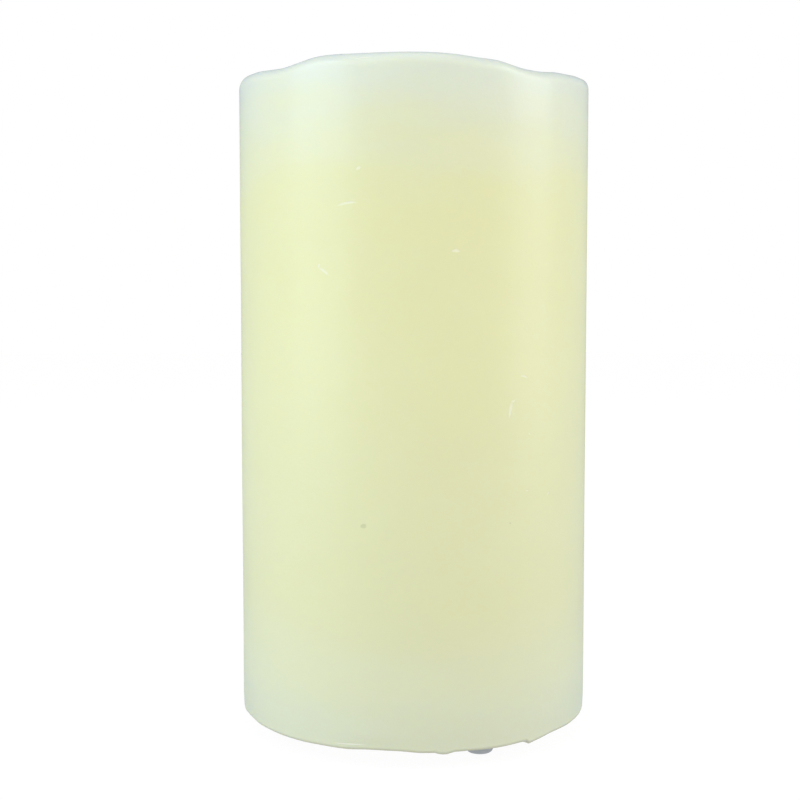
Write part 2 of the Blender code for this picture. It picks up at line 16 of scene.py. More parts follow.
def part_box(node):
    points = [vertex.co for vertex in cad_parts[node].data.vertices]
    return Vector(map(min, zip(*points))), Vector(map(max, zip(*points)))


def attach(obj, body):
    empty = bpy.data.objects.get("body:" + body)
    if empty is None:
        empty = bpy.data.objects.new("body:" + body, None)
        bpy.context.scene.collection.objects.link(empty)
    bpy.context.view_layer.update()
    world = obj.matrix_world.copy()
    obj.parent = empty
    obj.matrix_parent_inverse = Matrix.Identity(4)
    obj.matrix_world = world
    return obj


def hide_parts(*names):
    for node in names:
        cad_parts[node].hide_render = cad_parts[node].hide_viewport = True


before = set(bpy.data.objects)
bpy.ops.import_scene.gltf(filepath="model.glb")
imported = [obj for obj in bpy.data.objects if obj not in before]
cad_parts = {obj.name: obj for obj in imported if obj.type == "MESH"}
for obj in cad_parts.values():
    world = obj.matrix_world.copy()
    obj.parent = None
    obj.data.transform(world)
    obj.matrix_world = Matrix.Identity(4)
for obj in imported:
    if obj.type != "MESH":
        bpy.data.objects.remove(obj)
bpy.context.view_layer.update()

MM = 0.001

# %% [markdown]
# ## Reading places from the frame
# Every place below comes from the working model, so that the fine pieces fit it without any fitting. The
# wax's section is read from its vertices: its radius, the height of its foot, the floor of its pool, and
# how high the melted lip stands in each direction. Angles go round the candle from its front, -Y, towards
# +X.

# %% Measure the wax
wax_corners = [vertex.co.copy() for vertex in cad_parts["wax_shell"].data.vertices]
WAX_RADIUS = max(corner.x for corner in wax_corners)
WAX_FOOT = min(corner.z for corner in wax_corners)
HOLE_RADIUS = min(corner.xy.length for corner in wax_corners)
POOL_FLOOR = max(corner.z for corner in wax_corners if corner.xy.length < 2 * HOLE_RADIUS)
CAVITY_TOP = min(corner.z for corner in wax_corners if corner.xy.length < 2 * HOLE_RADIUS)
CAVITY_RADIUS = min(corner.xy.length for corner in wax_corners if corner.z < CAVITY_TOP / 2)
SPOKE = 7.5  # degrees between the wax's spokes in the frame
SPOKES = round(360 / SPOKE)


def angle_of(point):
    """Degrees round the candle, from its front towards +X."""
    return math.degrees(math.atan2(point.x, -point.y))


def spoke_heights():
    """The highest point of the lip on each spoke."""
    heights = [0.0] * SPOKES
    for corner in wax_corners:
        spoke = round(angle_of(corner) / SPOKE) % SPOKES
        heights[spoke] = max(heights[spoke], corner.z)
    return heights


LIP_HEIGHTS = spoke_heights()
LIP_LOWEST = min(LIP_HEIGHTS)
print(f"wax radius {WAX_RADIUS / MM:.1f} mm")
print(f"lip from {LIP_LOWEST / MM:.1f} to {max(LIP_HEIGHTS) / MM:.1f} mm")


# %% The lip between the spokes
def lip_top(degrees):
    """The lip's height at any angle: a smooth cubic through the spokes' heights."""
    place = degrees % 360 / SPOKE
    here = int(place)
    t = place - here
    a, b, c, d = (LIP_HEIGHTS[(here + step) % SPOKES] for step in (-1, 0, 1, 2))
    return b + 0.5 * t * (c - a + t * (2 * a - 5 * b + 4 * c - d + t * (3 * (b - c) + d - a)))


def angle_from(centre, degrees):
    """How far an angle lies from another, the short way round."""
    return (degrees - centre + 180) % 360 - 180


def smoothstep(low, high, value):
    share = min(max((value - low) / (high - low), 0.0), 1.0)
    return share * share * (3 - 2 * share)


print(f"lip at the front {lip_top(0) / MM:.1f} mm, at the back {lip_top(180) / MM:.1f} mm")

# %% [markdown]
# ## The studio
# A pale floor, an even white surround and two tall soft boxes, one on each side. On a round, satin
# surface each box shows as a soft upright band. The surround is dim behind the candle, and at a grazing
# angle the wax mirrors that dimness, which draws the thin darker line that separates pale wax from a pale
# ground. Only the camera sees the surround as plain white. The floor is there for the camera alone and is
# clear from below, so the same light reaches the underside and the underside can be looked at.

# %% Camera
CAMERA_AZIMUTH = 16.0  # degrees from the front, towards +X
CAMERA_DISTANCE = 0.320
CAMERA_HEIGHT = 0.0975
CAMERA_PITCH = 4.0
CAMERA_YAW = 0.56  # aims a little to the left of the candle's axis
CAMERA_LENS = 61.65  # mm, on a sensor 36 mm wide


def beside(azimuth, distance, height):
    """A place round the candle, at an azimuth from its front."""
    turn = math.radians(azimuth)
    return Vector((distance * math.sin(turn), -distance * math.cos(turn), height))


def add_object(name, data):
    made = bpy.data.objects.new(name, data)
    bpy.context.scene.collection.objects.link(made)
    return made


def add_camera():
    data = bpy.data.cameras.new("camera")
    data.sensor_width = 36.0
    data.lens = CAMERA_LENS
    data.clip_start = 0.01
    camera = add_object("camera", data)
    camera.location = beside(CAMERA_AZIMUTH, CAMERA_DISTANCE, CAMERA_HEIGHT)
    turn = math.radians(CAMERA_AZIMUTH + CAMERA_YAW)
    camera.rotation_euler = (math.radians(90 - CAMERA_PITCH), 0, turn)
    bpy.context.scene.camera = camera
    return camera


print("camera at", [round(value, 3) for value in add_camera().location])


# %% Node helpers
def add_node(tree, kind, inputs=None, **settings):
    """Adds a node, gives it its settings, and fills its inputs with values or with other nodes' outputs."""
    made = tree.nodes.new("ShaderNode" + kind)
    for name, value in settings.items():
        setattr(made, name, value)
    for socket, value in (inputs or {}).items():
        if isinstance(value, bpy.types.NodeSocket):
            tree.links.new(value, made.inputs[socket])
        else:
            made.inputs[socket].default_value = value
    return made


def maths(tree, operation, first, second=0.0, third=0.0):
    inputs = {0: first, 1: second}
    if operation == "MULTIPLY_ADD":
        inputs[2] = third
    return add_node(tree, "Math", inputs, operation=operation).outputs[0]


def ramp(tree, value, low, high, to_low=0.0, to_high=1.0, course="SMOOTHSTEP"):
    """A smooth change from one value to another as the input goes from low to high."""
    inputs = {"Value": value, "From Min": low, "From Max": high, "To Min": to_low, "To Max": to_high}
    return add_node(tree, "MapRange", inputs, interpolation_type=course).outputs[0]


def slope(tree, value, low, high, to_low=0.0, to_high=1.0):
    """The same change along a straight line, held level outside it."""
    return ramp(tree, value, low, high, to_low, to_high, "LINEAR")


def mix_colour(tree, share, first, second, blend="MIX"):
    made = add_node(tree, "Mix", {0: share, 6: first, 7: second}, data_type="RGBA", blend_type=blend)
    return made.outputs[2]


def colour(red, green, blue):
    """A colour given as a screen shows it, 0 to 255, turned into scene light."""

    def linear(value):
        share = value / 255
        return share / 12.92 if share <= 0.04045 else ((share + 0.055) / 1.055) ** 2.4

    return (linear(red), linear(green), linear(blue), 1.0)


print("node helpers ready")

# %% Surround and soft boxes
SURROUND_FRONT = (0.835, 0.805, 0.775, 1.0)
SURROUND_BACK = (0.48, 0.53, 0.60, 1.0)
SURROUND_SLIT = 0.15  # what is left of the surround's light in a narrow cone right behind the candle
SLIT_EDGE = (0.90, 0.975)  # where that cone fades, as the cosine of the angle from its axis
LEFT_BOX = {"azimuth": CAMERA_AZIMUTH - 61, "width": 0.62, "radiance": (1.38, 1.80, 2.20)}
RIGHT_BOX = {"azimuth": CAMERA_AZIMUTH + 79, "width": 0.46, "radiance": (1.71, 1.93, 2.20)}
BOX_DISTANCE = 0.8
BOX_HEIGHT = 0.9
TOP_BOX_HEIGHT = 1.1
TOP_BOX_SIZE = 0.8
TOP_BOX_RADIANCE = (0.8, 0.8, 0.8)


def add_surround():
    world = bpy.data.worlds.new("surround")
    world.use_nodes = True
    bpy.context.scene.world = world
    tree = world.node_tree
    tree.nodes.clear()
    direction = add_node(tree, "TexCoord").outputs["Generated"]
    away = beside(CAMERA_AZIMUTH + 180, 1.0, 0.0)
    behind = add_node(tree, "VectorMath", {0: direction, 1: away}, operation="DOT_PRODUCT").outputs["Value"]
    light = mix_colour(tree, ramp(tree, behind, 0.0, 0.8), SURROUND_FRONT, SURROUND_BACK)
    slit = ramp(tree, behind, *SLIT_EDGE, 1.0, SURROUND_SLIT)
    seen = add_node(tree, "LightPath").outputs["Is Camera Ray"]
    strength = add_node(tree, "Mix", {0: seen, 2: slit, 3: 1.0}, data_type="FLOAT").outputs[0]
    shown = mix_colour(tree, seen, light, (1.0, 1.0, 1.0, 1.0))
    glow = add_node(tree, "Background", {"Color": shown, "Strength": strength})
    end = add_node(tree, "OutputWorld")
    tree.links.new(glow.outputs[0], end.inputs["Surface"])


def add_box_light(name, place, aim, width, height, radiance):
    data = bpy.data.lights.new(name, "AREA")
    data.shape = "RECTANGLE"
    data.size = width
    data.size_y = height
    data.energy = max(radiance) * math.pi * width * height
    data.color = [value / max(radiance) for value in radiance]
    lamp = add_object(name, data)
    lamp.location = place
    lamp.rotation_euler = (place - aim).to_track_quat("Z", "Y").to_euler()


def add_lights():
    for name, soft_box in (("left_box", LEFT_BOX), ("right_box", RIGHT_BOX)):
        place = beside(soft_box["azimuth"], BOX_DISTANCE, BOX_HEIGHT / 2)
        aim = Vector((0, 0, place.z))
        add_box_light(name, place, aim, soft_box["width"], BOX_HEIGHT, soft_box["radiance"])
    above = beside(CAMERA_AZIMUTH, 0.25, TOP_BOX_HEIGHT)
    middle = Vector((0, 0, 0.08))
    add_box_light("top_box", above, middle, TOP_BOX_SIZE, TOP_BOX_SIZE, TOP_BOX_RADIANCE)


add_surround()
add_lights()


# %% Floor
FLOOR_RADIUS = 2.5
FLOOR_WHITENESS = 0.9  # how much of the floor the camera sees as plain white
FLOOR_GLOW = 1.04


def make_white_paper():
    """Matt white paper for the camera's own rays: almost evenly bright from above, and clear from below."""
    paper = bpy.data.materials.new("white_paper")
    paper.use_nodes = True
    tree = paper.node_tree
    matt = tree.nodes["Principled BSDF"]
    matt.inputs["Roughness"].default_value = 0.9
    place = add_node(tree, "TexCoord").outputs["Object"]
    fibre = add_node(tree, "TexNoise", {"Vector": place, "Scale": 900.0, "Detail": 3.0})
    white = mix_colour(tree, fibre.outputs[0], (0.80, 0.80, 0.80, 1.0), (0.84, 0.84, 0.84, 1.0))
    tree.links.new(white, matt.inputs["Base Color"])
    glow = add_node(tree, "Emission", {"Strength": FLOOR_GLOW})
    seen = add_node(tree, "LightPath").outputs["Is Camera Ray"]
    plain = maths(tree, "MULTIPLY", seen, FLOOR_WHITENESS)
    both = add_node(tree, "MixShader", {0: plain, 1: matt.outputs[0], 2: glow.outputs[0]})
    above = maths(tree, "SUBTRACT", 1.0, add_node(tree, "NewGeometry").outputs["Backfacing"])
    shown = maths(tree, "MULTIPLY", seen, above)
    clear = add_node(tree, "BsdfTransparent")
    paper_or_air = add_node(tree, "MixShader", {0: shown, 1: clear.outputs[0], 2: both.outputs[0]})
    tree.links.new(paper_or_air.outputs[0], tree.nodes["Material Output"].inputs["Surface"])
    return paper


def add_mesh(shape, name):
    """Turns a bmesh into an object of the scene."""
    mesh = bpy.data.meshes.new(name)
    shape.to_mesh(mesh)
    shape.free()
    return add_object(name, mesh)


def add_floor():
    shape = bmesh.new()
    bmesh.ops.create_circle(shape, cap_ends=True, segments=96, radius=FLOOR_RADIUS)
    floor = add_mesh(shape, "floor")
    floor.data.materials.append(make_white_paper())


add_floor()
bpy.context.scene.view_settings.view_transform = "Standard"
print("floor laid, radius", FLOOR_RADIUS, "m")

# %% [markdown]
# ## Shared surface effects
# Each effect that more than one finish uses is a node group, built once. "Fine grain" is the spark-eroded
# skin of a mould and the bloom on wax. "Hairlines" are the fine scratches on metal and worn plastic.
# "Nick" is a single dent, scratch or painted highlight: a squashed ball of influence around a point, bent
# like a fingernail mark.


# %% Group maker
def new_group(name, inputs, outputs):
    """An empty shader group with its named sockets, and its input and output nodes."""
    group = bpy.data.node_groups.new(name, "ShaderNodeTree")
    for label, kind, value in inputs:
        socket = group.interface.new_socket(label, in_out="INPUT", socket_type="NodeSocket" + kind)
        if value is not None:
            socket.default_value = value
    for label, kind in outputs:
        group.interface.new_socket(label, in_out="OUTPUT", socket_type="NodeSocket" + kind)
    return group, group.nodes.new("NodeGroupInput"), group.nodes.new("NodeGroupOutput")


def add_group(tree, group, inputs):
    """Places a group in a material, and gives back its outputs."""
    return add_node(tree, "Group", inputs, node_tree=group).outputs


print("group helpers ready")


# %% Fine grain
def build_fine_grain():
    """Height: a soft pebble at two sizes. Cloud: slow patches, for colour and gloss."""
    group, enter, leave = new_group(
        "fine_grain",
        [("Vector", "Vector", None), ("Grains per mm", "Float", 2.0), ("Patch per mm", "Float", 0.1)],
        [("Height", "Float"), ("Cloud", "Float")],
    )
    where = enter.outputs["Vector"]
    per_metre = maths(group, "MULTIPLY", enter.outputs["Grains per mm"], 1000.0)
    coarse_inputs = {"Vector": where, "Scale": per_metre, "Detail": 2.0, "Roughness": 0.6}
    coarse = add_node(group, "TexNoise", coarse_inputs)
    finer = maths(group, "MULTIPLY", per_metre, 3.1)
    pebble = add_node(group, "TexVoronoi", {"Vector": where, "Scale": finer})
    height = maths(group, "MULTIPLY_ADD", pebble.outputs["Distance"], 0.35, coarse.outputs[0])
    patches = maths(group, "MULTIPLY", enter.outputs["Patch per mm"], 1000.0)
    cloud_inputs = {"Vector": where, "Scale": patches, "Detail": 4.0, "Roughness": 0.55}
    cloud = add_node(group, "TexNoise", cloud_inputs)
    group.links.new(height, leave.inputs["Height"])
    group.links.new(ramp(group, cloud.outputs[0], 0.3, 0.7), leave.inputs["Cloud"])
    return group


FINE_GRAIN = build_fine_grain()
print("fine grain:", len(FINE_GRAIN.nodes), "nodes")


# %% Hairlines
def build_hairlines():
    """Scratch: thin lines that run mostly one way. Smear: broad soft change in gloss."""
    group, enter, leave = new_group(
        "hairlines",
        [("Vector", "Vector", None), ("Lines per mm", "Float", 3.0)],
        [("Scratch", "Float"), ("Smear", "Float")],
    )
    where = enter.outputs["Vector"]
    drawn = add_node(group, "Mapping", {"Vector": where, "Scale": (0.06, 1.0, 1.0)}).outputs[0]
    per_metre = maths(group, "MULTIPLY", enter.outputs["Lines per mm"], 1000.0)
    line_inputs = {"Vector": drawn, "Scale": per_metre, "Detail": 3.0, "Roughness": 0.7}
    lines = add_node(group, "TexNoise", line_inputs)
    smear = add_node(group, "TexNoise", {"Vector": where, "Scale": 160.0, "Detail": 2.0})
    group.links.new(ramp(group, lines.outputs[0], 0.52, 0.72), leave.inputs["Scratch"])
    group.links.new(ramp(group, smear.outputs[0], 0.35, 0.65), leave.inputs["Smear"])
    return group


HAIRLINES = build_hairlines()
print("hairlines:", len(HAIRLINES.nodes), "nodes")


# %% Nick
def build_mark_shape():
    """Mask: 1 inside a squashed, bent ball round the vector's origin, with a ragged edge."""
    group, enter, leave = new_group(
        "nick", [("Vector", "Vector", None), ("Bend", "Float", 0.0)], [("Mask", "Float")]
    )
    where = enter.outputs["Vector"]
    parts = add_node(group, "SeparateXYZ", {0: where})
    along = parts.outputs["X"]
    curved = maths(group, "MULTIPLY", maths(group, "MULTIPLY", along, along), enter.outputs["Bend"])
    across = maths(group, "ADD", parts.outputs["Z"], curved)
    ragged = add_node(group, "TexNoise", {"Vector": where, "Scale": 2.3, "Detail": 2.0})
    centred = add_node(group, "CombineXYZ", {0: along, 1: parts.outputs["Y"], 2: across})
    reach = add_node(group, "VectorMath", {0: centred.outputs[0]}, operation="LENGTH").outputs["Value"]
    rough_reach = maths(group, "MULTIPLY_ADD", ragged.outputs[0], 0.5, reach)
    group.links.new(ramp(group, rough_reach, 1.25, 0.75), leave.inputs["Mask"])
    return group


MARK_SHAPE = build_mark_shape()
print("groups:", [group.name for group in bpy.data.node_groups])


# %% Material maker
def new_finish(name, **fixed):
    """A material with its Principled shader; fixed gives the shader's plain values."""
    material = bpy.data.materials.new(name)
    material.use_nodes = True
    tree = material.node_tree
    shader = tree.nodes["Principled BSDF"]
    for label, value in fixed.items():
        shader.inputs[label.replace("_", " ")].default_value = value
    place = add_node(tree, "TexCoord").outputs["Object"]
    return material, tree, shader, place


def bump(tree, height, depth, normal=None):
    """A Bump node; depth is the relief's real depth in metres."""
    inputs = {"Height": height, "Distance": depth, "Strength": 1.0}
    if normal is not None:
        inputs["Normal"] = normal
    return add_node(tree, "Bump", inputs).outputs[0]


print("material maker ready")

# %% [markdown]
# ## Ivory wax
# Cast paraffin is slightly clear: light enters, scatters and comes out nearby, yellower in the thick body
# and paler and cooler towards both ends. So the colour changes with height, and painted shade darkens it
# towards the bottom, in a line along the foot's lower edge and in a line on the lip's crest. The shader has
# subsurface scattering, and the gloss is satin with fine unevenness. The few nicks and scratches that
# handling left, and two painted highlights, are placed one by one, by angle and height, each with the nick
# group. Shine that crosses a finish in steps would show as edges, so the gloss changes only slowly.

# %% Marks on the wax
PALE_MARKS = (  # (angle, height in mm, half length, half width in mm, tilt, bend)
    (-0.4, 125.2, 0.75, 0.42, 35, 0.2),
    (-4.0, 118.2, 2.60, 0.34, 8, 0.9),
    (-11.6, 104.3, 1.70, 0.36, -34, 0.3),
    (-13.4, 105.5, 0.60, 0.32, 80, 0.0),
    (28.6, 108.4, 1.05, 0.46, 0, 0.4),
    (46.6, 75.6, 2.05, 0.42, 78, 0.35),
    (47.6, 77.3, 0.65, 0.30, 25, 0.0),
    (51.8, 82.4, 1.20, 0.28, -14, 0.5),
    (54.0, 70.2, 0.28, 0.26, 0, 0.0),
    (53.2, 58.2, 0.50, 0.20, 0, 0.0),
    (62.5, 57.0, 0.55, 0.24, 50, 0.0),
    # painted highlight: a pale crescent just above the foot's edge
    (-3.5, 5.2, 4.40, 0.22, 3, -0.5),
    # painted highlight: the glint on the thumbed flat of the lip
    (1.0, 147.4, 2.40, 0.16, 4, 0.3),
    (104.0, 92.0, 2.10, 0.22, 22, 0.5),
    (139.0, 40.0, 1.40, 0.26, -50, 0.3),
    (171.0, 112.0, 0.60, 0.28, 15, 0.0),
    (-151.0, 66.0, 2.60, 0.22, -12, 0.8),
    (-118.0, 124.0, 0.90, 0.24, 64, 0.2),
    (-84.0, 29.0, 1.20, 0.24, 5, 0.4),
)
DARK_MARKS = (
    (1.0, 51.6, 0.85, 0.62, 10, 0.0),
    (46.7, 51.6, 0.28, 0.18, 0, 0.0),
    (-128.0, 88.0, 0.45, 0.40, 0, 0.0),
)


def mark_mask(tree, place, mark):
    """One mark's mask, nick, scratch or painted highlight: a Mapping node turns the wax's coordinates to its
    own.
    """
    angle, height, half_length, half_width, tilt, bend = mark
    turned = add_node(
        tree,
        "Mapping",
        {
            "Vector": place,
            "Location": beside(angle, WAX_RADIUS, height * MM),
            "Rotation": (0.0, math.radians(-tilt), math.radians(angle)),
            "Scale": (half_length * MM, 0.004, half_width * MM),
        },
        vector_type="TEXTURE",
    )
    return add_group(tree, MARK_SHAPE, {"Vector": turned.outputs[0], "Bend": bend})["Mask"]


def all_masks(tree, place, marks):
    total = mark_mask(tree, place, marks[0])
    for mark in marks[1:]:
        total = maths(tree, "MAXIMUM", total, mark_mask(tree, place, mark))
    return total


print("marks:", len(PALE_MARKS), "pale,", len(DARK_MARKS), "dark")

# %% Wax finish
WAX_BODY = colour(226, 227, 176)
WAX_RIM = colour(218, 226, 213)
WAX_FOOT_TINT = colour(222, 229, 202)
WAX_BLOOM = colour(226, 232, 208)
WAX_POOL = colour(232, 228, 170)
# Painted shade: a dark line along the foot's lower edge.
WAX_EDGE_SHADE = colour(150, 152, 142)
# Painted shade: a greyer, darker line on the lip's crest.
WAX_CREST_SHADE = colour(190, 200, 198)
# The colour of the pale marks: scratches, and two painted highlights.
WAX_PALE_MARK = colour(243, 245, 232)
WAX_DARK_MARK = colour(176, 182, 140)
RIM_BAND = (0.1190, 0.1515)  # heights over which the body turns to the rim's colour
FOOT_BAND = (0.0360, 0.0080)  # and to the foot's
FOOT_HAZE = (0.1150, 0.0450)  # a fainter start of the foot's colour, higher up


def make_ivory_wax():
    material, tree, shader, place = new_finish(
        "ivory_wax",
        IOR=1.43,
        Subsurface_Weight=0.35,
        Subsurface_Radius=(1.0, 0.8, 0.35),
        Subsurface_Scale=0.004,
        Coat_Roughness=0.22,
    )
    parts = add_node(tree, "SeparateXYZ", {0: place})
    height = parts.outputs["Z"]
    flat = add_node(tree, "CombineXYZ", {0: parts.outputs["X"], 1: parts.outputs["Y"]})
    radius = add_node(tree, "VectorMath", {0: flat.outputs[0]}, operation="LENGTH").outputs["Value"]

    grain = add_group(tree, FINE_GRAIN, {"Vector": place, "Grains per mm": 0.7, "Patch per mm": 0.05})
    flattened = add_node(tree, "Mapping", {"Vector": place, "Scale": (1.0, 1.0, 4.0)}).outputs[0]
    bands = add_group(tree, FINE_GRAIN, {"Vector": flattened, "Grains per mm": 0.3, "Patch per mm": 0.03})
    drift = maths(tree, "MULTIPLY_ADD", bands["Cloud"], 0.005, height)
    upper = maths(tree, "POWER", slope(tree, drift, *RIM_BAND), 1.5)
    lower = maths(tree, "MULTIPLY", slope(tree, drift, *FOOT_BAND), 0.78)
    lower = maths(tree, "MULTIPLY_ADD", ramp(tree, drift, *FOOT_HAZE), 0.22, lower)
    body = mix_colour(tree, upper, WAX_BODY, WAX_RIM)
    body = mix_colour(tree, lower, body, WAX_FOOT_TINT)
    mottle = maths(tree, "MULTIPLY", maths(tree, "ADD", grain["Cloud"], bands["Cloud"]), 0.05)
    body = mix_colour(tree, mottle, body, WAX_BLOOM)
    # Painted shade: the wax's colour is darkened towards the bottom, gently below 85 mm and more in the last
    # 16 mm.
    painted_shade_low = slope(tree, height, 0.012, 0.085, 0.925, 1.0)
    darker = slope(tree, height, 0.003, 0.016, 0.935, 1.0)
    shade = maths(tree, "MULTIPLY", painted_shade_low, darker)
    dim = add_node(tree, "CombineColor", {0: shade, 1: shade, 2: shade}).outputs[0]
    body = mix_colour(tree, 1.0, body, dim, "MULTIPLY")

    within_lip = ramp(tree, radius, 0.0368, 0.0346)
    inside = maths(tree, "MULTIPLY", within_lip, ramp(tree, height, 0.12, 0.124))
    body = mix_colour(tree, maths(tree, "MULTIPLY", inside, 0.7), body, WAX_POOL)

    # Painted shade: a dark line of colour along the foot's lower edge.
    edge = add_node(tree, "Attribute", attribute_name="painted_edge_shade").outputs["Fac"]
    body = mix_colour(tree, maths(tree, "MULTIPLY", edge, 0.5), body, WAX_EDGE_SHADE)
    # Painted shade: a greyer, darker line of colour on the lip's crest.
    crest = add_node(tree, "Attribute", attribute_name="painted_crest_shade").outputs["Fac"]
    body = mix_colour(tree, maths(tree, "MULTIPLY", crest, 0.6), body, WAX_CREST_SHADE)
    # Pale marks: scratches, and two painted highlights.
    pale = all_masks(tree, place, PALE_MARKS)
    dark = all_masks(tree, place, DARK_MARKS)
    body = mix_colour(tree, maths(tree, "MULTIPLY", pale, 0.45), body, WAX_PALE_MARK)
    body = mix_colour(tree, maths(tree, "MULTIPLY", dark, 0.4), body, WAX_DARK_MARK)
    tree.links.new(body, shader.inputs["Base Color"])

    satin = maths(tree, "MULTIPLY_ADD", grain["Cloud"], 0.08, 0.42)
    glossy_top = maths(tree, "MULTIPLY", maths(tree, "MAXIMUM", upper, inside), 0.11)
    rough = maths(tree, "SUBTRACT", satin, glossy_top)
    rough = maths(tree, "MULTIPLY_ADD", pale, 0.2, rough)
    tree.links.new(rough, shader.inputs["Roughness"])
    glazed = maths(tree, "MULTIPLY_ADD", upper, 0.35, 0.25)
    tree.links.new(maths(tree, "MULTIPLY_ADD", inside, 0.35, glazed), shader.inputs["Coat Weight"])

    slow = add_node(tree, "TexNoise", {"Vector": place, "Scale": 120.0, "Detail": 1.0})
    relief = bump(tree, slow.outputs[0], 0.00022)
    relief = bump(tree, grain["Height"], 0.000035, relief)
    relief = bump(tree, maths(tree, "SUBTRACT", 1.0, pale), 0.00005, relief)
    tree.links.new(relief, shader.inputs["Normal"])
    return material


IVORY_WAX = make_ivory_wax()
print("wax nodes:", len(IVORY_WAX.node_tree.nodes))

# %% [markdown]
# ## Finishing a piece
# A piece starts as a bmesh. When it is done it becomes an object at the origin, its place in its mesh; it
# rides on one of the frame's bodies and stands for the solids it replaces. A turned piece is a profile, a
# line of radii and heights, spun once round Z and closed. Its rounds are drawn into the profile, because
# no real edge is a knife.


# %% Piece helpers
def finish_piece(shape, name, material, body="candle", replaces=(), sharp=35.0):
    """Turns the bmesh into a piece of the frame, smooth except at edges sharper than sharp degrees."""
    piece = add_mesh(shape, name)
    piece.data.shade_smooth()
    piece.data.set_sharp_from_angle(angle=math.radians(sharp))
    piece.data.materials.append(material)
    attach(piece, body)
    if replaces:
        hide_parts(*replaces)
    return piece


def spin_profile(points, steps, ring=False):
    """Spins (radius, height) points about Z. A ring is a closed profile that doesn't touch the axis."""
    shape = bmesh.new()
    corners = [shape.verts.new((radius, 0, height)) for radius, height in points]
    edges = [shape.edges.new(pair) for pair in zip(corners, corners[1:])]
    if ring:
        edges.append(shape.edges.new((corners[-1], corners[0])))
    bmesh.ops.spin(
        shape,
        geom=corners + edges,
        cent=(0, 0, 0),
        axis=(0, 0, 1),
        dvec=(0, 0, 0),
        angle=math.tau,
        steps=steps,
        use_merge=True,
        use_duplicate=False,
    )
    bmesh.ops.remove_doubles(shape, verts=shape.verts, dist=0.0000002)
    bmesh.ops.recalc_face_normals(shape, faces=shape.faces)
    return shape


def round_edges(shape, width):
    """Bevels every edge that turns by more than 30 degrees."""
    limit = math.radians(30)
    edges = [edge for edge in shape.edges if len(edge.link_faces) == 2 and edge.calc_face_angle() > limit]
    bmesh.ops.bevel(
        shape,
        geom=edges,
        offset=width,
        offset_type="OFFSET",
        segments=2,
        profile=0.5,
        affect="EDGES",
        material=-1,
        clamp_overlap=True,
    )


def arc_points(centre, radius, start, end, count):
    """Points round a corner of a profile, between two angles in degrees."""
    turns = [math.radians(start + (end - start) * step / (count - 1)) for step in range(count)]
    return [(centre[0] + radius * math.cos(turn), centre[1] + radius * math.sin(turn)) for turn in turns]


print("piece helpers ready")

# %% [markdown]
# ## The wax pillar
# The real pillar was cast in a tube, its rim was melted into waves by hand, and its foot was trimmed with
# a knife. A spun profile gives the cast form exactly. The hand work is added by moving vertices with
# formulas: the lip follows the frame's heights, the pool's wall gets runs of set wax, and the foot gets
# flats, a step and a flap.

# %% Wax profile
LIP_ROUND = 0.0024
FOOT_ROUND = 0.0005
POOL_POWER = 7
WAVE_START = 0.128
WAX_STEPS = 288


def graded(low, high, count, pull=0.0):
    """Heights from low to high; pull crowds them towards both ends."""
    heights = []
    for step in range(count + 1):
        share = step / count
        heights.append(low + (high - low) * (share - pull * math.sin(math.tau * share) / math.tau))
    return heights


def wax_outline():
    """Up the outside, over the lip, down into the pool and the lamp's hole, and down the battery cavity."""
    lip_z = LIP_LOWEST - LIP_ROUND
    lip_x = WAX_RADIUS - LIP_ROUND
    bowl = lip_x - LIP_ROUND
    points = arc_points((WAX_RADIUS - FOOT_ROUND, WAX_FOOT + FOOT_ROUND), FOOT_ROUND, -90, 0, 4)
    points += [(WAX_RADIUS, height) for height in graded(WAX_FOOT + FOOT_ROUND, lip_z, 110, 0.82)[1:]]
    points += arc_points((lip_x, lip_z), LIP_ROUND, 0, 180, 13)[1:]
    for step in range(1, 44):
        share = 1 - step / 50
        points.append((bowl * share, POOL_FLOOR + (lip_z - POOL_FLOOR) * share**POOL_POWER))
    points += [(HOLE_RADIUS + 0.0005, POOL_FLOOR), (HOLE_RADIUS, POOL_FLOOR - 0.0005)]
    points += [(HOLE_RADIUS, CAVITY_TOP), (CAVITY_RADIUS - 0.0045, CAVITY_TOP)]
    points += arc_points((CAVITY_RADIUS - 0.0045, CAVITY_TOP - 0.0045), 0.0045, 90, 0, 6)[1:]
    points += [(CAVITY_RADIUS, 0.05), (CAVITY_RADIUS, WAX_FOOT + 0.0006), (CAVITY_RADIUS + 0.0006, WAX_FOOT)]
    return points


print("wax profile points:", len(wax_outline()))

# %% Hand work on the wax
FOOT_DROP = 0.00045  # how much lower than the frame's edge the trimmed foot hangs on average
FOOT_TRIMS = (  # (angle, half width in degrees, drop in mm)
    (7, 9, -0.34),
    (25.5, 2.2, 0.42),
    (41, 6, 0.14),
    (48, 3, 0.05),
    (68, 6, -0.08),
    (-25, 9, 0.10),
    (-52, 6, -0.16),
    (-88, 8, 0.20),
    (-120, 11, -0.22),
    (-141, 3, 0.30),
    (165, 9, 0.18),
    (131, 7, -0.24),
    (104, 3, 0.26),
)
FLAP_START = 54.2
FLAP_TAPER = 12.0  # degrees
FLAP_DROP = 0.00080
TRIM_FADE = 0.0035
LIP_SWELLS = (  # (angle, half width in degrees, rise in mm)
    (-17, 10, 0.50),
    (43.5, 6, 0.50),
    (-62, 8, 0.35),
    (95, 7, -0.25),
)


def foot_drop(degrees):
    """How far the trimmed edge hangs below the frame's, at an angle."""
    drop = FOOT_DROP
    along = (degrees - FLAP_START) / FLAP_TAPER
    if 0 <= along < 1:
        drop += FLAP_DROP * (1 - along) ** 1.5
    for centre, half_width, depth in FOOT_TRIMS:
        drop += depth * MM * math.exp(-((angle_from(centre, degrees) / half_width) ** 4))
    return drop


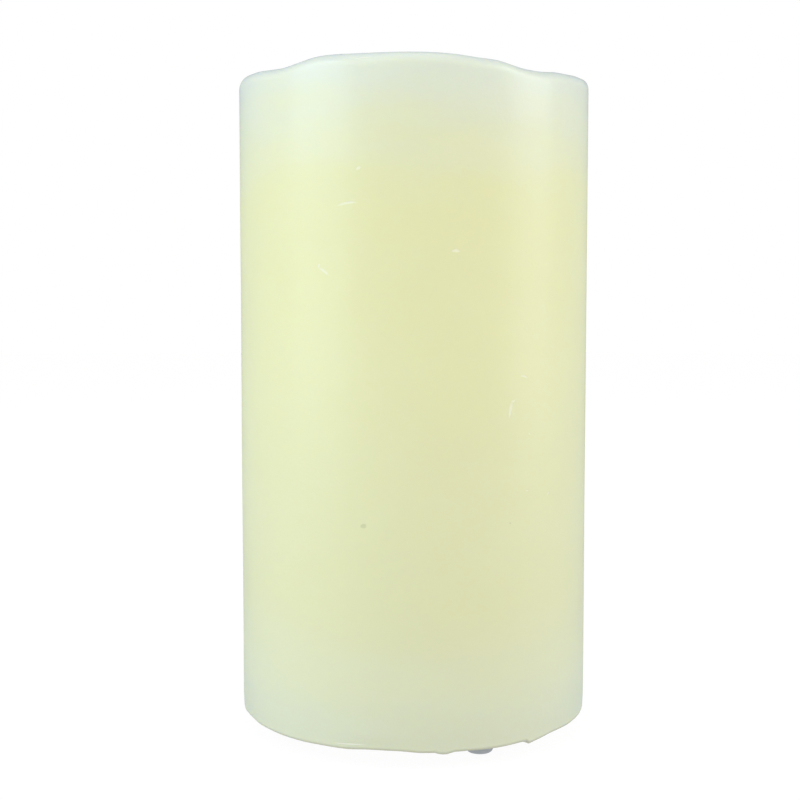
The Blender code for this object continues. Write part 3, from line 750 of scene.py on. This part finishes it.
def lift_lip(point, degrees):
    """Raises the melted lip to the frame's height and its soft swells, and fades out down the wall."""
    rise = lip_top(degrees) - LIP_LOWEST
    for centre, half_width, swell in LIP_SWELLS:
        rise += swell * MM * math.exp(-((angle_from(centre, degrees) / half_width) ** 2))
    point.z += smoothstep(WAVE_START, LIP_LOWEST, point.z) * rise


def hand_trim(point, degrees):
    """Lowers the foot's edge and shaves the wall a little just above it."""
    fade = 1 - smoothstep(WAX_FOOT, WAX_FOOT + TRIM_FADE, point.z)
    if fade > 0 and point.xy.length > CAVITY_RADIUS + 0.0004:
        drop = foot_drop(degrees)
        point.z -= fade * drop
        if point.xy.length > WAX_RADIUS - 0.001:
            shave = fade * (0.00012 + 0.5 * max(FOOT_DROP - drop, 0.0))
            point.xy = point.xy * (1 - shave / WAX_RADIUS)


def uneven_wall(point):
    """The cast wall's slow unevenness, always inwards."""
    slow = 0.5 + 0.5 * noise.noise(point * 26.0)
    fine = 0.5 + 0.5 * noise.noise(point * 95.0 + Vector((7.1, 3.3, 1.7)))
    point.xy = point.xy * (1 - (0.00009 * slow + 0.00003 * fine) / WAX_RADIUS)


def runs_in_pool(point, degrees, bowl):
    """Set runs and ripples of melted wax inside the lip."""
    share = (point.z - POOL_FLOOR) / (LIP_LOWEST - POOL_FLOOR)
    turn = math.radians(degrees)
    ring = Vector((math.cos(turn), math.sin(turn), 0.0))
    run = noise.noise(ring * 5.5 + Vector((0, 0, point.z * 20)))
    ripple = noise.noise(ring * 14.0 + Vector((3.1, 0.4, point.z * 160)))
    fade = smoothstep(0.02, 0.35, share) * (1 - smoothstep(0.6, 0.88, share))
    bulge = (0.0009 * run + 0.0002 * ripple) * fade
    point.xy = point.xy * (1 + bulge / bowl)
    radius = point.xy.length
    floor_wave = noise.noise(Vector((point.x, point.y, 0)) * 130.0) * smoothstep(0.0075, 0.012, radius)
    point.z += 0.00022 * floor_wave * (1 - smoothstep(0.0, 0.3, share))
    point.z += 0.00045 * math.exp(-(((radius - 0.0088) / 0.0011) ** 2)) * (1 - smoothstep(0.0, 0.1, share))


def thumbed_lip(point, degrees):
    """A shallow flat that a thumb pressed into the lip's outer side, near the front."""
    away = (degrees - 1.0) / 5.0
    below = (lip_top(degrees) - point.z) / 0.0016
    if abs(away) < 3 and point.xy.length > WAX_RADIUS - 0.0024:
        press = 0.00030 * math.exp(-(away**2)) * math.exp(-((below - 0.6) ** 2) * 2)
        point.xy = point.xy * (1 - press / WAX_RADIUS)


print("foot drop, in mm:", [round(foot_drop(degrees) / MM, 2) for degrees in range(0, 360, 45)])


# %% Make the pillar
def make_wax_pillar():
    shape = spin_profile(wax_outline(), WAX_STEPS, ring=True)
    bowl = WAX_RADIUS - 2 * LIP_ROUND
    edge = shape.verts.layers.float.new("painted_edge_shade")
    crest = shape.verts.layers.float.new("painted_crest_shade")
    for vertex in shape.verts:
        point = vertex.co
        # Marks the foot's lower edge for its line of painted shade.
        if point.xy.length > WAX_RADIUS - 0.0003:
            vertex[edge] = 1 - smoothstep(WAX_FOOT + 0.0002, WAX_FOOT + 0.0007, point.z)
        # Marks the lip's crest for its line of painted shade.
        vertex[crest] = smoothstep(LIP_LOWEST - 0.0020, LIP_LOWEST - 0.0003, point.z)
        degrees = angle_of(point)
        radius = point.xy.length
        in_pool = POOL_FLOOR - 0.0001 < point.z and HOLE_RADIUS + 0.0015 < radius < bowl + 0.0002
        if in_pool:
            runs_in_pool(point, degrees, bowl)
        lift_lip(point, degrees)
        if radius > WAX_RADIUS - LIP_ROUND * 1.5:
            thumbed_lip(point, degrees)
            uneven_wall(point)
        hand_trim(point, degrees)
    return finish_piece(shape, "wax_pillar", IVORY_WAX, replaces=["wax_shell"], sharp=60)


wax_pillar = make_wax_pillar()
print("wax pillar:", len(wax_pillar.data.polygons), "faces")

# %% [markdown]
# ## Plastics and rubber
# The base is a white moulding with a fine spark-eroded skin, faintly yellowed in slow patches. The feet
# are pale grey rubber, soft and dull, their grey deepened a little as painted shade from the candle above
# them. The flame is frosted and slightly clear, so that the lamp under it can shine out.


# %% Moulded finishes
def make_moulded(name, main, aged, roughness, grains, depth, **fixed):
    """A plastic or rubber: two close colours in slow patches, a pebbled skin and a few rubbed lines."""
    material, tree, shader, place = new_finish(name, **fixed)
    grain = add_group(tree, FINE_GRAIN, {"Vector": place, "Grains per mm": grains, "Patch per mm": 0.12})
    rubbed = add_group(tree, HAIRLINES, {"Vector": place, "Lines per mm": 1.2})
    tone = mix_colour(tree, maths(tree, "MULTIPLY", grain["Cloud"], 0.7), main, aged)
    tone = mix_colour(tree, maths(tree, "MULTIPLY", rubbed["Scratch"], 0.25), tone, aged)
    tree.links.new(tone, shader.inputs["Base Color"])
    dull = maths(tree, "MULTIPLY_ADD", grain["Cloud"], 0.07, roughness)
    dull = maths(tree, "MULTIPLY_ADD", rubbed["Smear"], -0.08, dull)
    tree.links.new(dull, shader.inputs["Roughness"])
    tree.links.new(bump(tree, grain["Height"], depth), shader.inputs["Normal"])
    return material


WHITE_PLASTIC = make_moulded(
    "white_plastic", colour(238, 239, 234), colour(228, 227, 214), 0.42, 3.0, 0.00003, Subsurface_Weight=0.05
)
# The rubber's two greys are deepened as painted shade: the feet sit in the candle's shadow.
GREY_RUBBER_AND_SHADE = make_moulded("grey_rubber", colour(172, 178, 186), colour(156, 162, 170), 0.62, 4.0, 0.00002)
BLACK_RESIN = make_moulded("black_resin", colour(34, 34, 36), colour(52, 52, 54), 0.45, 4.0, 0.00002)
SLIDER_BLACK = make_moulded("slider_black", colour(28, 28, 30), colour(60, 60, 62), 0.38, 5.0, 0.00001)
print("moulded finishes ready")


# %% Frosted flame finish
def make_frosted():
    material, tree, shader, place = new_finish(
        "frosted_plastic",
        IOR=1.49,
        Transmission_Weight=0.35,
        Subsurface_Weight=0.4,
        Subsurface_Radius=(1.0, 0.85, 0.6),
        Subsurface_Scale=0.002,
    )
    height = add_node(tree, "SeparateXYZ", {0: place}).outputs["Z"]
    grain = add_group(tree, FINE_GRAIN, {"Vector": place, "Grains per mm": 5.0, "Patch per mm": 0.3})
    warm = ramp(tree, height, POOL_FLOOR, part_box("flame_diffuser")[1].z)
    tone = mix_colour(tree, warm, colour(250, 235, 196), colour(252, 246, 228))
    tone = mix_colour(tree, maths(tree, "MULTIPLY", grain["Cloud"], 0.2), tone, colour(255, 250, 240))
    tree.links.new(tone, shader.inputs["Base Color"])
    tree.links.new(maths(tree, "MULTIPLY_ADD", grain["Cloud"], 0.08, 0.36), shader.inputs["Roughness"])
    tree.links.new(bump(tree, grain["Height"], 0.00002), shader.inputs["Normal"])
    return material


FROSTED_PLASTIC = make_frosted()
print("frosted finish ready")

# %% [markdown]
# ## The flame
# The real diffuser is blown as a teardrop with soft flutes that turn a little as they rise. A spun
# teardrop is the start. Each height is then turned and leaned by a small amount, which keeps the surface
# smooth and closed.

# %% Flame
FLAME_STEPS = 72
flame_low, flame_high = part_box("flame_diffuser")
FLAME_NECK = HOLE_RADIUS - 0.0004
FLAME_COLLAR = flame_high.x
FLAME_BORE = 0.0033
COLLAR_THICKNESS = 0.0011


def flame_outline():
    """Down the flame, round its collar and neck, and up inside to the top of the bore."""
    collar_z = POOL_FLOOR + 0.0003
    body_z = collar_z + COLLAR_THICKNESS
    tall = flame_high.z - 0.0003 - body_z
    points = [(0.0, flame_high.z)]
    count = 40
    for step in range(count):
        share = 1 - step / (count - 1)
        swell = 0.0044 + 0.0013 * math.sin(math.pi * min(share / 0.6, 1))
        taper = math.cos(math.pi / 2 * max(share - 0.12, 0) / 0.88) ** 0.8
        rounding = math.sqrt(max(1 - share, 0) / 0.02) if share > 0.98 else 1.0
        points.append((max(swell * taper, 0.0005 * rounding + 0.0001), body_z + tall * share))
    points += [(FLAME_COLLAR - 0.0006, body_z), (FLAME_COLLAR, body_z - 0.0004), (FLAME_COLLAR, collar_z)]
    points += [(FLAME_NECK, collar_z), (FLAME_NECK, flame_low.z), (FLAME_BORE, flame_low.z)]
    points += [(FLAME_BORE, collar_z + 0.0005), (FLAME_BORE - 0.0012, collar_z + 0.0030)]
    points += [(0.0, collar_z + 0.0035)]
    return points


def flute_flame(point):
    """Presses the turning flutes in at a point above the collar, and leans it a little."""
    start = POOL_FLOOR + 0.002
    above_bore = POOL_FLOOR + 0.0042
    radius = point.xy.length
    outside = radius > FLAME_BORE - 0.0001 or point.z > above_bore
    if point.z > start and radius > 0.0001 and outside:
        share = (point.z - start) / (flame_high.z - start)
        turn = math.atan2(point.y, point.x) + 0.9 * share
        flute = 1 - 0.05 * (0.5 + 0.5 * math.cos(6 * turn)) * smoothstep(0.0, 0.25, share)
        point.xy = point.xy * flute
        point.x += 0.0005 * math.sin(math.pi * share) * share


def make_flame():
    shape = spin_profile(flame_outline(), FLAME_STEPS)
    for vertex in shape.verts:
        flute_flame(vertex.co)
    return finish_piece(
        shape, "flame", FROSTED_PLASTIC, replaces=["flame_diffuser"], sharp=50
    )


print("flame:", len(make_flame().data.polygons), "faces")

# %% [markdown]
# ## Feet
# Four soft buttons plug into the base. Each is turned, with a generous round at its lower edge and a
# shallow dish moulded under it, so that it grips on its rim.


# %% Feet
def make_foot(node):
    low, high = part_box(node)
    centre = (low + high) / 2
    radius = (high.x - low.x) / 2
    rest_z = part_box("base_housing")[0].z - 0.0003
    peg = 0.0012
    dish = 0.0011
    points = [(0.0, high.z), (peg - 0.0003, high.z), (peg, high.z - 0.0004), (peg, rest_z)]
    points += [(radius - 0.0003, rest_z), (radius, rest_z - 0.0003)]
    points += arc_points((radius - 0.0009, 0.0009), 0.0009, 0, -90, 10)
    points += [(dish + 0.0002, 0.0), (dish, 0.0001), (dish - 0.0004, 0.0002), (0.0, 0.0002)]
    shape = spin_profile(points, 48)
    bmesh.ops.translate(shape, verts=shape.verts, vec=(centre.x, centre.y, 0))
    return finish_piece(shape, node + "_button", GREY_RUBBER_AND_SHADE, replaces=[node], sharp=50)


feet = [make_foot(f"foot_{number}") for number in range(1, 5)]
print("feet:", len(feet))

# %% [markdown]
# ## Base moulding, door and switch
# The frame's own solids have the right cuts, holes and pins, so the mouldings start from a welded copy of
# them. Flat neighbours are dissolved into single faces first, and then every hard edge is bevelled by a
# tenth of a millimetre or two, the radius that a real mould leaves.


# %% Softened copies
def softened(node, width):
    """A welded copy of a frame solid with its flats joined and its edges rounded."""
    shape = bmesh.new()
    shape.from_mesh(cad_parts[node].data)
    bmesh.ops.remove_doubles(shape, verts=shape.verts, dist=0.000001)
    bmesh.ops.dissolve_limit(
        shape,
        angle_limit=math.radians(1.0),
        verts=shape.verts,
        edges=shape.edges,
        use_dissolve_boundaries=False,
    )
    round_edges(shape, width)
    return shape


base_moulding = finish_piece(
    softened("base_housing", 0.00012),
    "base_moulding",
    WHITE_PLASTIC,
    replaces=["base_housing"],
)
door_panel = finish_piece(
    softened("battery_door", 0.00015),
    "door_panel",
    WHITE_PLASTIC,
    body="battery_door",
    replaces=["battery_door"],
)
switch_knob = finish_piece(
    softened("switch_slider", 0.0001),
    "switch_knob",
    SLIDER_BLACK,
    body="switch_slider",
    replaces=["switch_slider"],
)
for piece in (base_moulding, door_panel, switch_knob):
    print(piece.name, "has", len(piece.data.polygons), "faces")

# %% [markdown]
# ## Metal, cells and electronics
# The contacts are bright nickel and the screws are zinc, with fine lines that only their gloss shows.
# Each cell has a printed sleeve, drawn in the cell's own UV map: along the cell from its flat end to its
# button, and round.


# %% Metal finishes
def make_metal(name, main, tint, roughness, lines):
    material, tree, shader, place = new_finish(name, Metallic=1.0)
    worn = add_group(tree, HAIRLINES, {"Vector": place, "Lines per mm": lines})
    grain = add_group(tree, FINE_GRAIN, {"Vector": place, "Grains per mm": 2.0, "Patch per mm": 0.4})
    tone = mix_colour(tree, maths(tree, "MULTIPLY", grain["Cloud"], 0.6), main, tint)
    tree.links.new(tone, shader.inputs["Base Color"])
    dull = maths(tree, "MULTIPLY_ADD", worn["Scratch"], 0.14, roughness)
    dull = maths(tree, "MULTIPLY_ADD", worn["Smear"], 0.06, dull)
    tree.links.new(dull, shader.inputs["Roughness"])
    tree.links.new(bump(tree, worn["Scratch"], 0.000004), shader.inputs["Normal"])
    return material


NICKEL = make_metal("nickel", colour(214, 210, 200), colour(196, 190, 178), 0.29, 4.0)
ZINC = make_metal("zinc_steel", colour(196, 199, 202), colour(172, 176, 184), 0.33, 3.0)
print("metals ready")


# %% Cell sleeve finish
def make_cell_sleeve():
    """Bands along the cell: bare steel at both rims, a pale band by the button, and a plus and a minus."""
    material, tree, shader, place = new_finish("cell_sleeve", Coat_Weight=0.6, Coat_Roughness=0.12)
    where = add_node(tree, "UVMap", uv_map="sleeve").outputs[0]
    parts = add_node(tree, "SeparateXYZ", {0: where})
    around, along = parts.outputs["X"], parts.outputs["Y"]

    def within(value, low, high):
        soft = 0.002
        entered = ramp(tree, value, low - soft, low + soft)
        return maths(tree, "MULTIPLY", entered, ramp(tree, value, high + soft, high - soft))

    tone = mix_colour(tree, within(along, 0.72, 0.975), colour(24, 42, 86), colour(198, 152, 72))
    tone = mix_colour(tree, within(along, 0.700, 0.716), tone, colour(226, 226, 224))
    tone = mix_colour(tree, within(along, 0.05, 0.062), tone, colour(226, 226, 224))
    repeat = maths(tree, "FRACT", maths(tree, "MULTIPLY", around, 3.0))
    stroke = maths(tree, "MULTIPLY", within(repeat, 0.40, 0.60), within(along, 0.842, 0.858))
    upright = maths(tree, "MULTIPLY", within(repeat, 0.475, 0.525), within(along, 0.818, 0.882))
    plus = maths(tree, "MAXIMUM", stroke, upright)
    minus = maths(tree, "MULTIPLY", within(repeat, 0.475, 0.525), within(along, 0.10, 0.155))
    tone = mix_colour(tree, maths(tree, "MAXIMUM", plus, minus), tone, colour(236, 236, 232))
    steel = maths(tree, "SUBTRACT", 1.0, within(along, 0.012, 0.975))
    tone = mix_colour(tree, steel, tone, colour(198, 198, 196))
    tree.links.new(tone, shader.inputs["Base Color"])
    tree.links.new(steel, shader.inputs["Metallic"])
    worn = add_group(tree, HAIRLINES, {"Vector": place, "Lines per mm": 2.0})
    tree.links.new(maths(tree, "MULTIPLY_ADD", worn["Scratch"], 0.15, 0.28), shader.inputs["Roughness"])
    tree.links.new(bump(tree, worn["Scratch"], 0.000005), shader.inputs["Normal"])
    return material


CELL_SLEEVE = make_cell_sleeve()
print("sleeve ready")


# %% Cells
def cell_outline(length, radius):
    """From the button's centre down the outside to the flat end's centre."""
    half = length / 2
    can = half - 0.0008
    points = [(0.0, half), (0.0015, half), (0.0019, half - 0.0003), (0.0019, can)]
    points += [(0.0028, can), (0.0030, can - 0.0003), (0.0038, can - 0.0003), (0.0042, can)]
    points += arc_points((radius - 0.0005, can - 0.0005), 0.0005, 90, 0, 5)
    points += [(radius, can - 0.0010), (radius - 0.00008, can - 0.0011), (radius, can - 0.0014)]
    points += [(radius, 0.0), (radius, 0.0009 - half)]
    points += arc_points((radius - 0.0005, 0.0005 - half), 0.0005, 0, -90, 5)
    points += [(0.0036, -half), (0.0034, 0.0002 - half), (0.0030, 0.0002 - half)]
    points += [(0.0028, -half), (0.0, -half)]
    return points


def map_sleeve(shape, length):
    """A UV map: round the cell in U, from the flat end to the button in V."""
    layer = shape.loops.layers.uv.new("sleeve")
    for face in shape.faces:
        middle = face.calc_center_median()
        base = math.atan2(middle.y, middle.x)
        for loop in face.loops:
            point = loop.vert.co
            turn = math.atan2(point.y, point.x) if point.xy.length > 0.00001 else base
            turn = base + (turn - base + math.pi) % math.tau - math.pi
            loop[layer].uv = (turn / math.tau + 0.5, point.z / length + 0.5)


def make_cell(node, toward):
    low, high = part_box(node)
    length = high.x - low.x
    shape = spin_profile(cell_outline(length, (high.z - low.z) / 2), 64)
    map_sleeve(shape, length)
    lay = Matrix.Translation((low + high) / 2) @ Matrix.Rotation(toward * math.pi / 2, 4, "Y")
    bmesh.ops.transform(shape, matrix=lay, verts=shape.verts)
    return finish_piece(shape, node + "_cell", CELL_SLEEVE, replaces=[node], sharp=40)


cells = [make_cell(f"battery_{number}", toward) for number, toward in ((1, 1), (2, -1), (3, 1))]
print("cells:", len(cells))


# %% Contact springs
SPRING_WIRE = 0.0003  # the wire's radius
SPRING_WIDE = 0.0034
SPRING_NARROW = 0.0022
SPRING_TURNS = 2.25


def make_spring(number, toward):
    """A conical coil, wide at its plate and narrow at the cell."""
    node = f"contact_spring_{number}"
    low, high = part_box(node)
    rise = high.x - low.x - 2 * SPRING_WIRE
    start = low.x + SPRING_WIRE if toward > 0 else high.x - SPRING_WIRE
    cell_low, cell_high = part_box(f"battery_{number}")
    axis = (cell_low + cell_high) / 2
    curve = bpy.data.curves.new(node + "_coil", "CURVE")
    curve.dimensions = "3D"
    curve.bevel_depth = SPRING_WIRE
    curve.bevel_resolution = 3
    curve.use_fill_caps = True
    line = curve.splines.new("POLY")
    count = round(SPRING_TURNS * 28)
    line.points.add(count)
    for step in range(count + 1):
        share = step / count
        turn = math.tau * SPRING_TURNS * share
        radius = SPRING_WIDE + (SPRING_NARROW - SPRING_WIDE) * share
        across, up = radius * math.cos(turn), radius * math.sin(turn)
        line.points[step].co = (start + toward * rise * share, axis.y + across, axis.z + up, 1.0)
    line.use_smooth = True
    curve.materials.append(NICKEL)
    coil = add_object(node + "_coil", curve)
    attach(coil, "candle")
    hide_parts(node)
    return coil


springs = [make_spring(number, toward) for number, toward in ((1, 1), (2, -1), (3, 1))]
print("springs:", len(springs))


# %% Contact plates
def soften_contact(node):
    return finish_piece(softened(node, 0.00006), node + "_plate", NICKEL, replaces=[node])


plates = [
    soften_contact(node)
    for node in ("negative_terminal", "positive_terminal", "bridge_contact_left", "bridge_contact_right")
]
print("plates:", len(plates))


# %% Screws
def cross_cutter(place, top, depth):
    """A tapered cross, made of two crossed wedges, that presses the driver's recess."""
    shape = bmesh.new()
    for turn in (0, 1):
        wedge = bmesh.ops.create_cube(shape, size=1.0)["verts"]
        for vertex in wedge:
            upper = vertex.co.z > 0
            long_side = 0.00080 if upper else 0.00170
            short_side = 0.00022 if upper else 0.00034
            sides = (long_side, short_side) if turn == 0 else (short_side, long_side)
            vertex.co.x = math.copysign(sides[0], vertex.co.x) + place.x
            vertex.co.y = math.copysign(sides[1], vertex.co.y) + place.y
            vertex.co.z = top + depth if upper else top - 0.0005
    return add_mesh(shape, "cross")


def press_recess(piece, cutter):
    """The piece's mesh with the cutter taken out of it; the cutter crosses itself, so use_self is on."""
    recess = piece.modifiers.new("Recess", "BOOLEAN")
    recess.object = cutter
    recess.operation = "DIFFERENCE"
    recess.solver = "EXACT"
    recess.use_self = True
    bpy.context.view_layer.update()
    mesh = bpy.data.meshes.new_from_object(piece.evaluated_get(bpy.context.evaluated_depsgraph_get()))
    bpy.data.objects.remove(cutter)
    bpy.data.objects.remove(piece)
    shape = bmesh.new()
    shape.from_mesh(mesh)
    return shape


def make_screw(node):
    low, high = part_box(node)
    centre = (low + high) / 2
    head = (high.x - low.x) / 2
    bearing = low.z + 0.0015
    shank = 0.00115
    points = [(0.0, high.z), (0.0003, high.z - 0.0002), (shank, high.z - 0.0022), (shank, bearing)]
    points += [(head - 0.0001, bearing), (head, bearing - 0.0001), (head, low.z + 0.0007)]
    points += arc_points((head - 0.0007, low.z + 0.0007), 0.0007, 0, -75, 6)[1:]
    points += [(0.0012, low.z + 0.00002), (0.0, low.z)]
    shape = spin_profile(points, 48)
    bmesh.ops.translate(shape, verts=shape.verts, vec=(centre.x, centre.y, 0))
    blank = add_mesh(shape, node + "_blank")
    cut = press_recess(blank, cross_cutter(centre, low.z, 0.0009))
    return finish_piece(cut, node + "_pan", ZINC, replaces=[node])


screws = [make_screw(f"screw_{number}") for number in range(1, 5)]
print("screws:", len(screws))

# %% [markdown]
# ## Raised marks under the base
# The moulding carries a few plain signs: a ring for off and a bar for on beside the switch, and on the
# door an arrow and grip ribs by the finger tab. Each is a separate low piece that stands on the plastic.


# %% Raised marks
plate_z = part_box("base_housing")[0].z
switch_low, switch_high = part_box("switch_slider")
switch_y = (switch_low.y + switch_high.y) / 2
off_x = (switch_low.x + switch_high.x) / 2
MARK_Y = switch_y + 0.0052
MARK_RISE = 0.0003


def finish_mark(shape, name, body):
    bmesh.ops.recalc_face_normals(shape, faces=shape.faces)
    round_edges(shape, 0.00006)
    return finish_piece(shape, name, WHITE_PLASTIC, body=body)


def add_bar(shape, centre, size):
    """Adds a block of a given size round a centre."""
    block = bmesh.ops.create_cube(shape, size=1.0)["verts"]
    bmesh.ops.scale(shape, vec=size, verts=block)
    bmesh.ops.translate(shape, vec=centre, verts=block)


def make_switch_marks():
    inner, outer = 0.0005, 0.0008
    section = [(inner, 0.0), (outer, 0.0), (outer, MARK_RISE), (inner, MARK_RISE)]
    ring = spin_profile(section, 32, ring=True)
    bmesh.ops.translate(ring, verts=ring.verts, vec=(off_x, MARK_Y, plate_z - MARK_RISE))
    finish_mark(ring, "off_ring", "candle")
    bar = bmesh.new()
    add_bar(bar, (-off_x, MARK_Y, plate_z - MARK_RISE / 4), (0.0003, 0.0016, 1.5 * MARK_RISE))
    finish_mark(bar, "on_bar", "candle")


def make_door_marks():
    low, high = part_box("battery_door")
    ribs = bmesh.new()
    for step in range(5):
        centre = (high.x - 0.0060 - 0.0012 * step, 0.0, low.z - MARK_RISE / 4)
        add_bar(ribs, centre, (0.0004, 0.0090, 1.5 * MARK_RISE))
    finish_mark(ribs, "door_grip_ribs", "battery_door")
    arrow = bmesh.new()
    tip = bmesh.ops.create_cone(
        arrow, cap_ends=True, segments=3, radius1=0.0022, radius2=0.0022, depth=1.5 * MARK_RISE
    )["verts"]
    bmesh.ops.rotate(arrow, cent=(0, 0, 0), matrix=Matrix.Rotation(-math.pi / 2, 3, "Z"), verts=tip)
    bmesh.ops.translate(arrow, verts=tip, vec=(high.x - 0.0155, 0.0, low.z - MARK_RISE / 4))
    finish_mark(arrow, "door_arrow", "battery_door")


make_switch_marks()
make_door_marks()
print("raised marks stand", MARK_RISE / MM, "mm tall")

# %% [markdown]
# ## Finishes for the pieces that stay
# The cap, the stem, the lamp and the electronics keep their frame solids, and get the finish that they
# have on the bench: solder resist with traces under it, a striped resistor, clear amber epoxy and bright
# insulation.


# %% Small electronics finishes
def make_board_green():
    material, tree, shader, place = new_finish("board_green", Coat_Weight=0.5, Coat_Roughness=0.15)
    traces = add_node(
        tree,
        "TexBrick",
        {
            "Vector": place,
            "Color1": colour(18, 92, 48),
            "Color2": colour(18, 92, 48),
            "Mortar": colour(60, 140, 74),
            "Scale": 600.0,
            "Mortar Size": 0.035,
            "Brick Width": 1.4,
            "Row Height": 0.6,
        },
    )
    grain = add_group(tree, FINE_GRAIN, {"Vector": place, "Grains per mm": 3.0, "Patch per mm": 0.2})
    patches = maths(tree, "MULTIPLY", grain["Cloud"], 0.3)
    tone = mix_colour(tree, patches, traces.outputs[0], colour(10, 70, 40))
    tree.links.new(tone, shader.inputs["Base Color"])
    tree.links.new(maths(tree, "MULTIPLY_ADD", grain["Cloud"], 0.1, 0.35), shader.inputs["Roughness"])
    tree.links.new(bump(tree, traces.outputs["Fac"], 0.00002), shader.inputs["Normal"])
    return material


def make_resistor_tan():
    """Colour bands along Y, counted in the part's own length."""
    material, tree, shader, place = new_finish("resistor_tan", Coat_Weight=0.4)
    low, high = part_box("led_resistor")
    across = add_node(tree, "SeparateXYZ", {0: place}).outputs["Y"]
    share = slope(tree, across, low.y, high.y)
    tone = colour(206, 178, 132)
    bands = ((0.22, colour(200, 90, 20)), (0.38, colour(200, 90, 20)), (0.54, colour(90, 50, 20)))
    for centre, paint in bands:
        near = maths(tree, "ABSOLUTE", maths(tree, "SUBTRACT", share, centre))
        tone = mix_colour(tree, ramp(tree, near, 0.05, 0.035), tone, paint)
    grain = add_group(tree, FINE_GRAIN, {"Vector": place, "Grains per mm": 4.0, "Patch per mm": 0.5})
    tree.links.new(tone, shader.inputs["Base Color"])
    tree.links.new(maths(tree, "MULTIPLY_ADD", grain["Cloud"], 0.1, 0.35), shader.inputs["Roughness"])
    tree.links.new(bump(tree, grain["Height"], 0.00001), shader.inputs["Normal"])
    return material


def make_amber_epoxy():
    material, tree, shader, place = new_finish("amber_epoxy", IOR=1.5, Transmission_Weight=0.6)
    height = add_node(tree, "SeparateXYZ", {0: place}).outputs["Z"]
    low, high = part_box("led_lamp")
    deep = ramp(tree, height, low.z, high.z)
    grain = add_group(tree, FINE_GRAIN, {"Vector": place, "Grains per mm": 2.0, "Patch per mm": 0.4})
    tone = mix_colour(tree, deep, colour(236, 170, 70), colour(250, 206, 120))
    tree.links.new(tone, shader.inputs["Base Color"])
    tree.links.new(maths(tree, "MULTIPLY_ADD", grain["Cloud"], 0.06, 0.08), shader.inputs["Roughness"])
    return material


BOARD_GREEN = make_board_green()
RESISTOR_TAN = make_resistor_tan()
AMBER_EPOXY = make_amber_epoxy()
RED_PVC = make_moulded("red_pvc", colour(186, 30, 26), colour(160, 24, 22), 0.36, 5.0, 0.00001)
BLACK_PVC = make_moulded("black_pvc", colour(30, 30, 32), colour(48, 48, 50), 0.36, 5.0, 0.00001)
print("electronics finishes ready")

# %% Give them out
KEPT_NODES = {
    "inner_housing": WHITE_PLASTIC,
    "lamp_stem": WHITE_PLASTIC,
    "led_socket": WHITE_PLASTIC,
    "led_lamp": AMBER_EPOXY,
    "led_lead_red": NICKEL,
    "led_lead_black": NICKEL,
    "led_wire_red": RED_PVC,
    "battery_wire_red": RED_PVC,
    "led_wire_black": BLACK_PVC,
    "battery_wire_black": BLACK_PVC,
    "shrink_sleeve_red": BLACK_RESIN,
    "shrink_sleeve_black": BLACK_RESIN,
    "switch_case": ZINC,
    "circuit_board": BOARD_GREEN,
    "flicker_chip": BLACK_RESIN,
    "led_resistor": RESISTOR_TAN,
    "timer_crystal": NICKEL,
}


def dress(node, material):
    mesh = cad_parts[node].data
    mesh.materials.clear()
    mesh.materials.append(material)


for node, material in KEPT_NODES.items():
    dress(node, material)
print("dressed:", len(KEPT_NODES), "kept nodes")
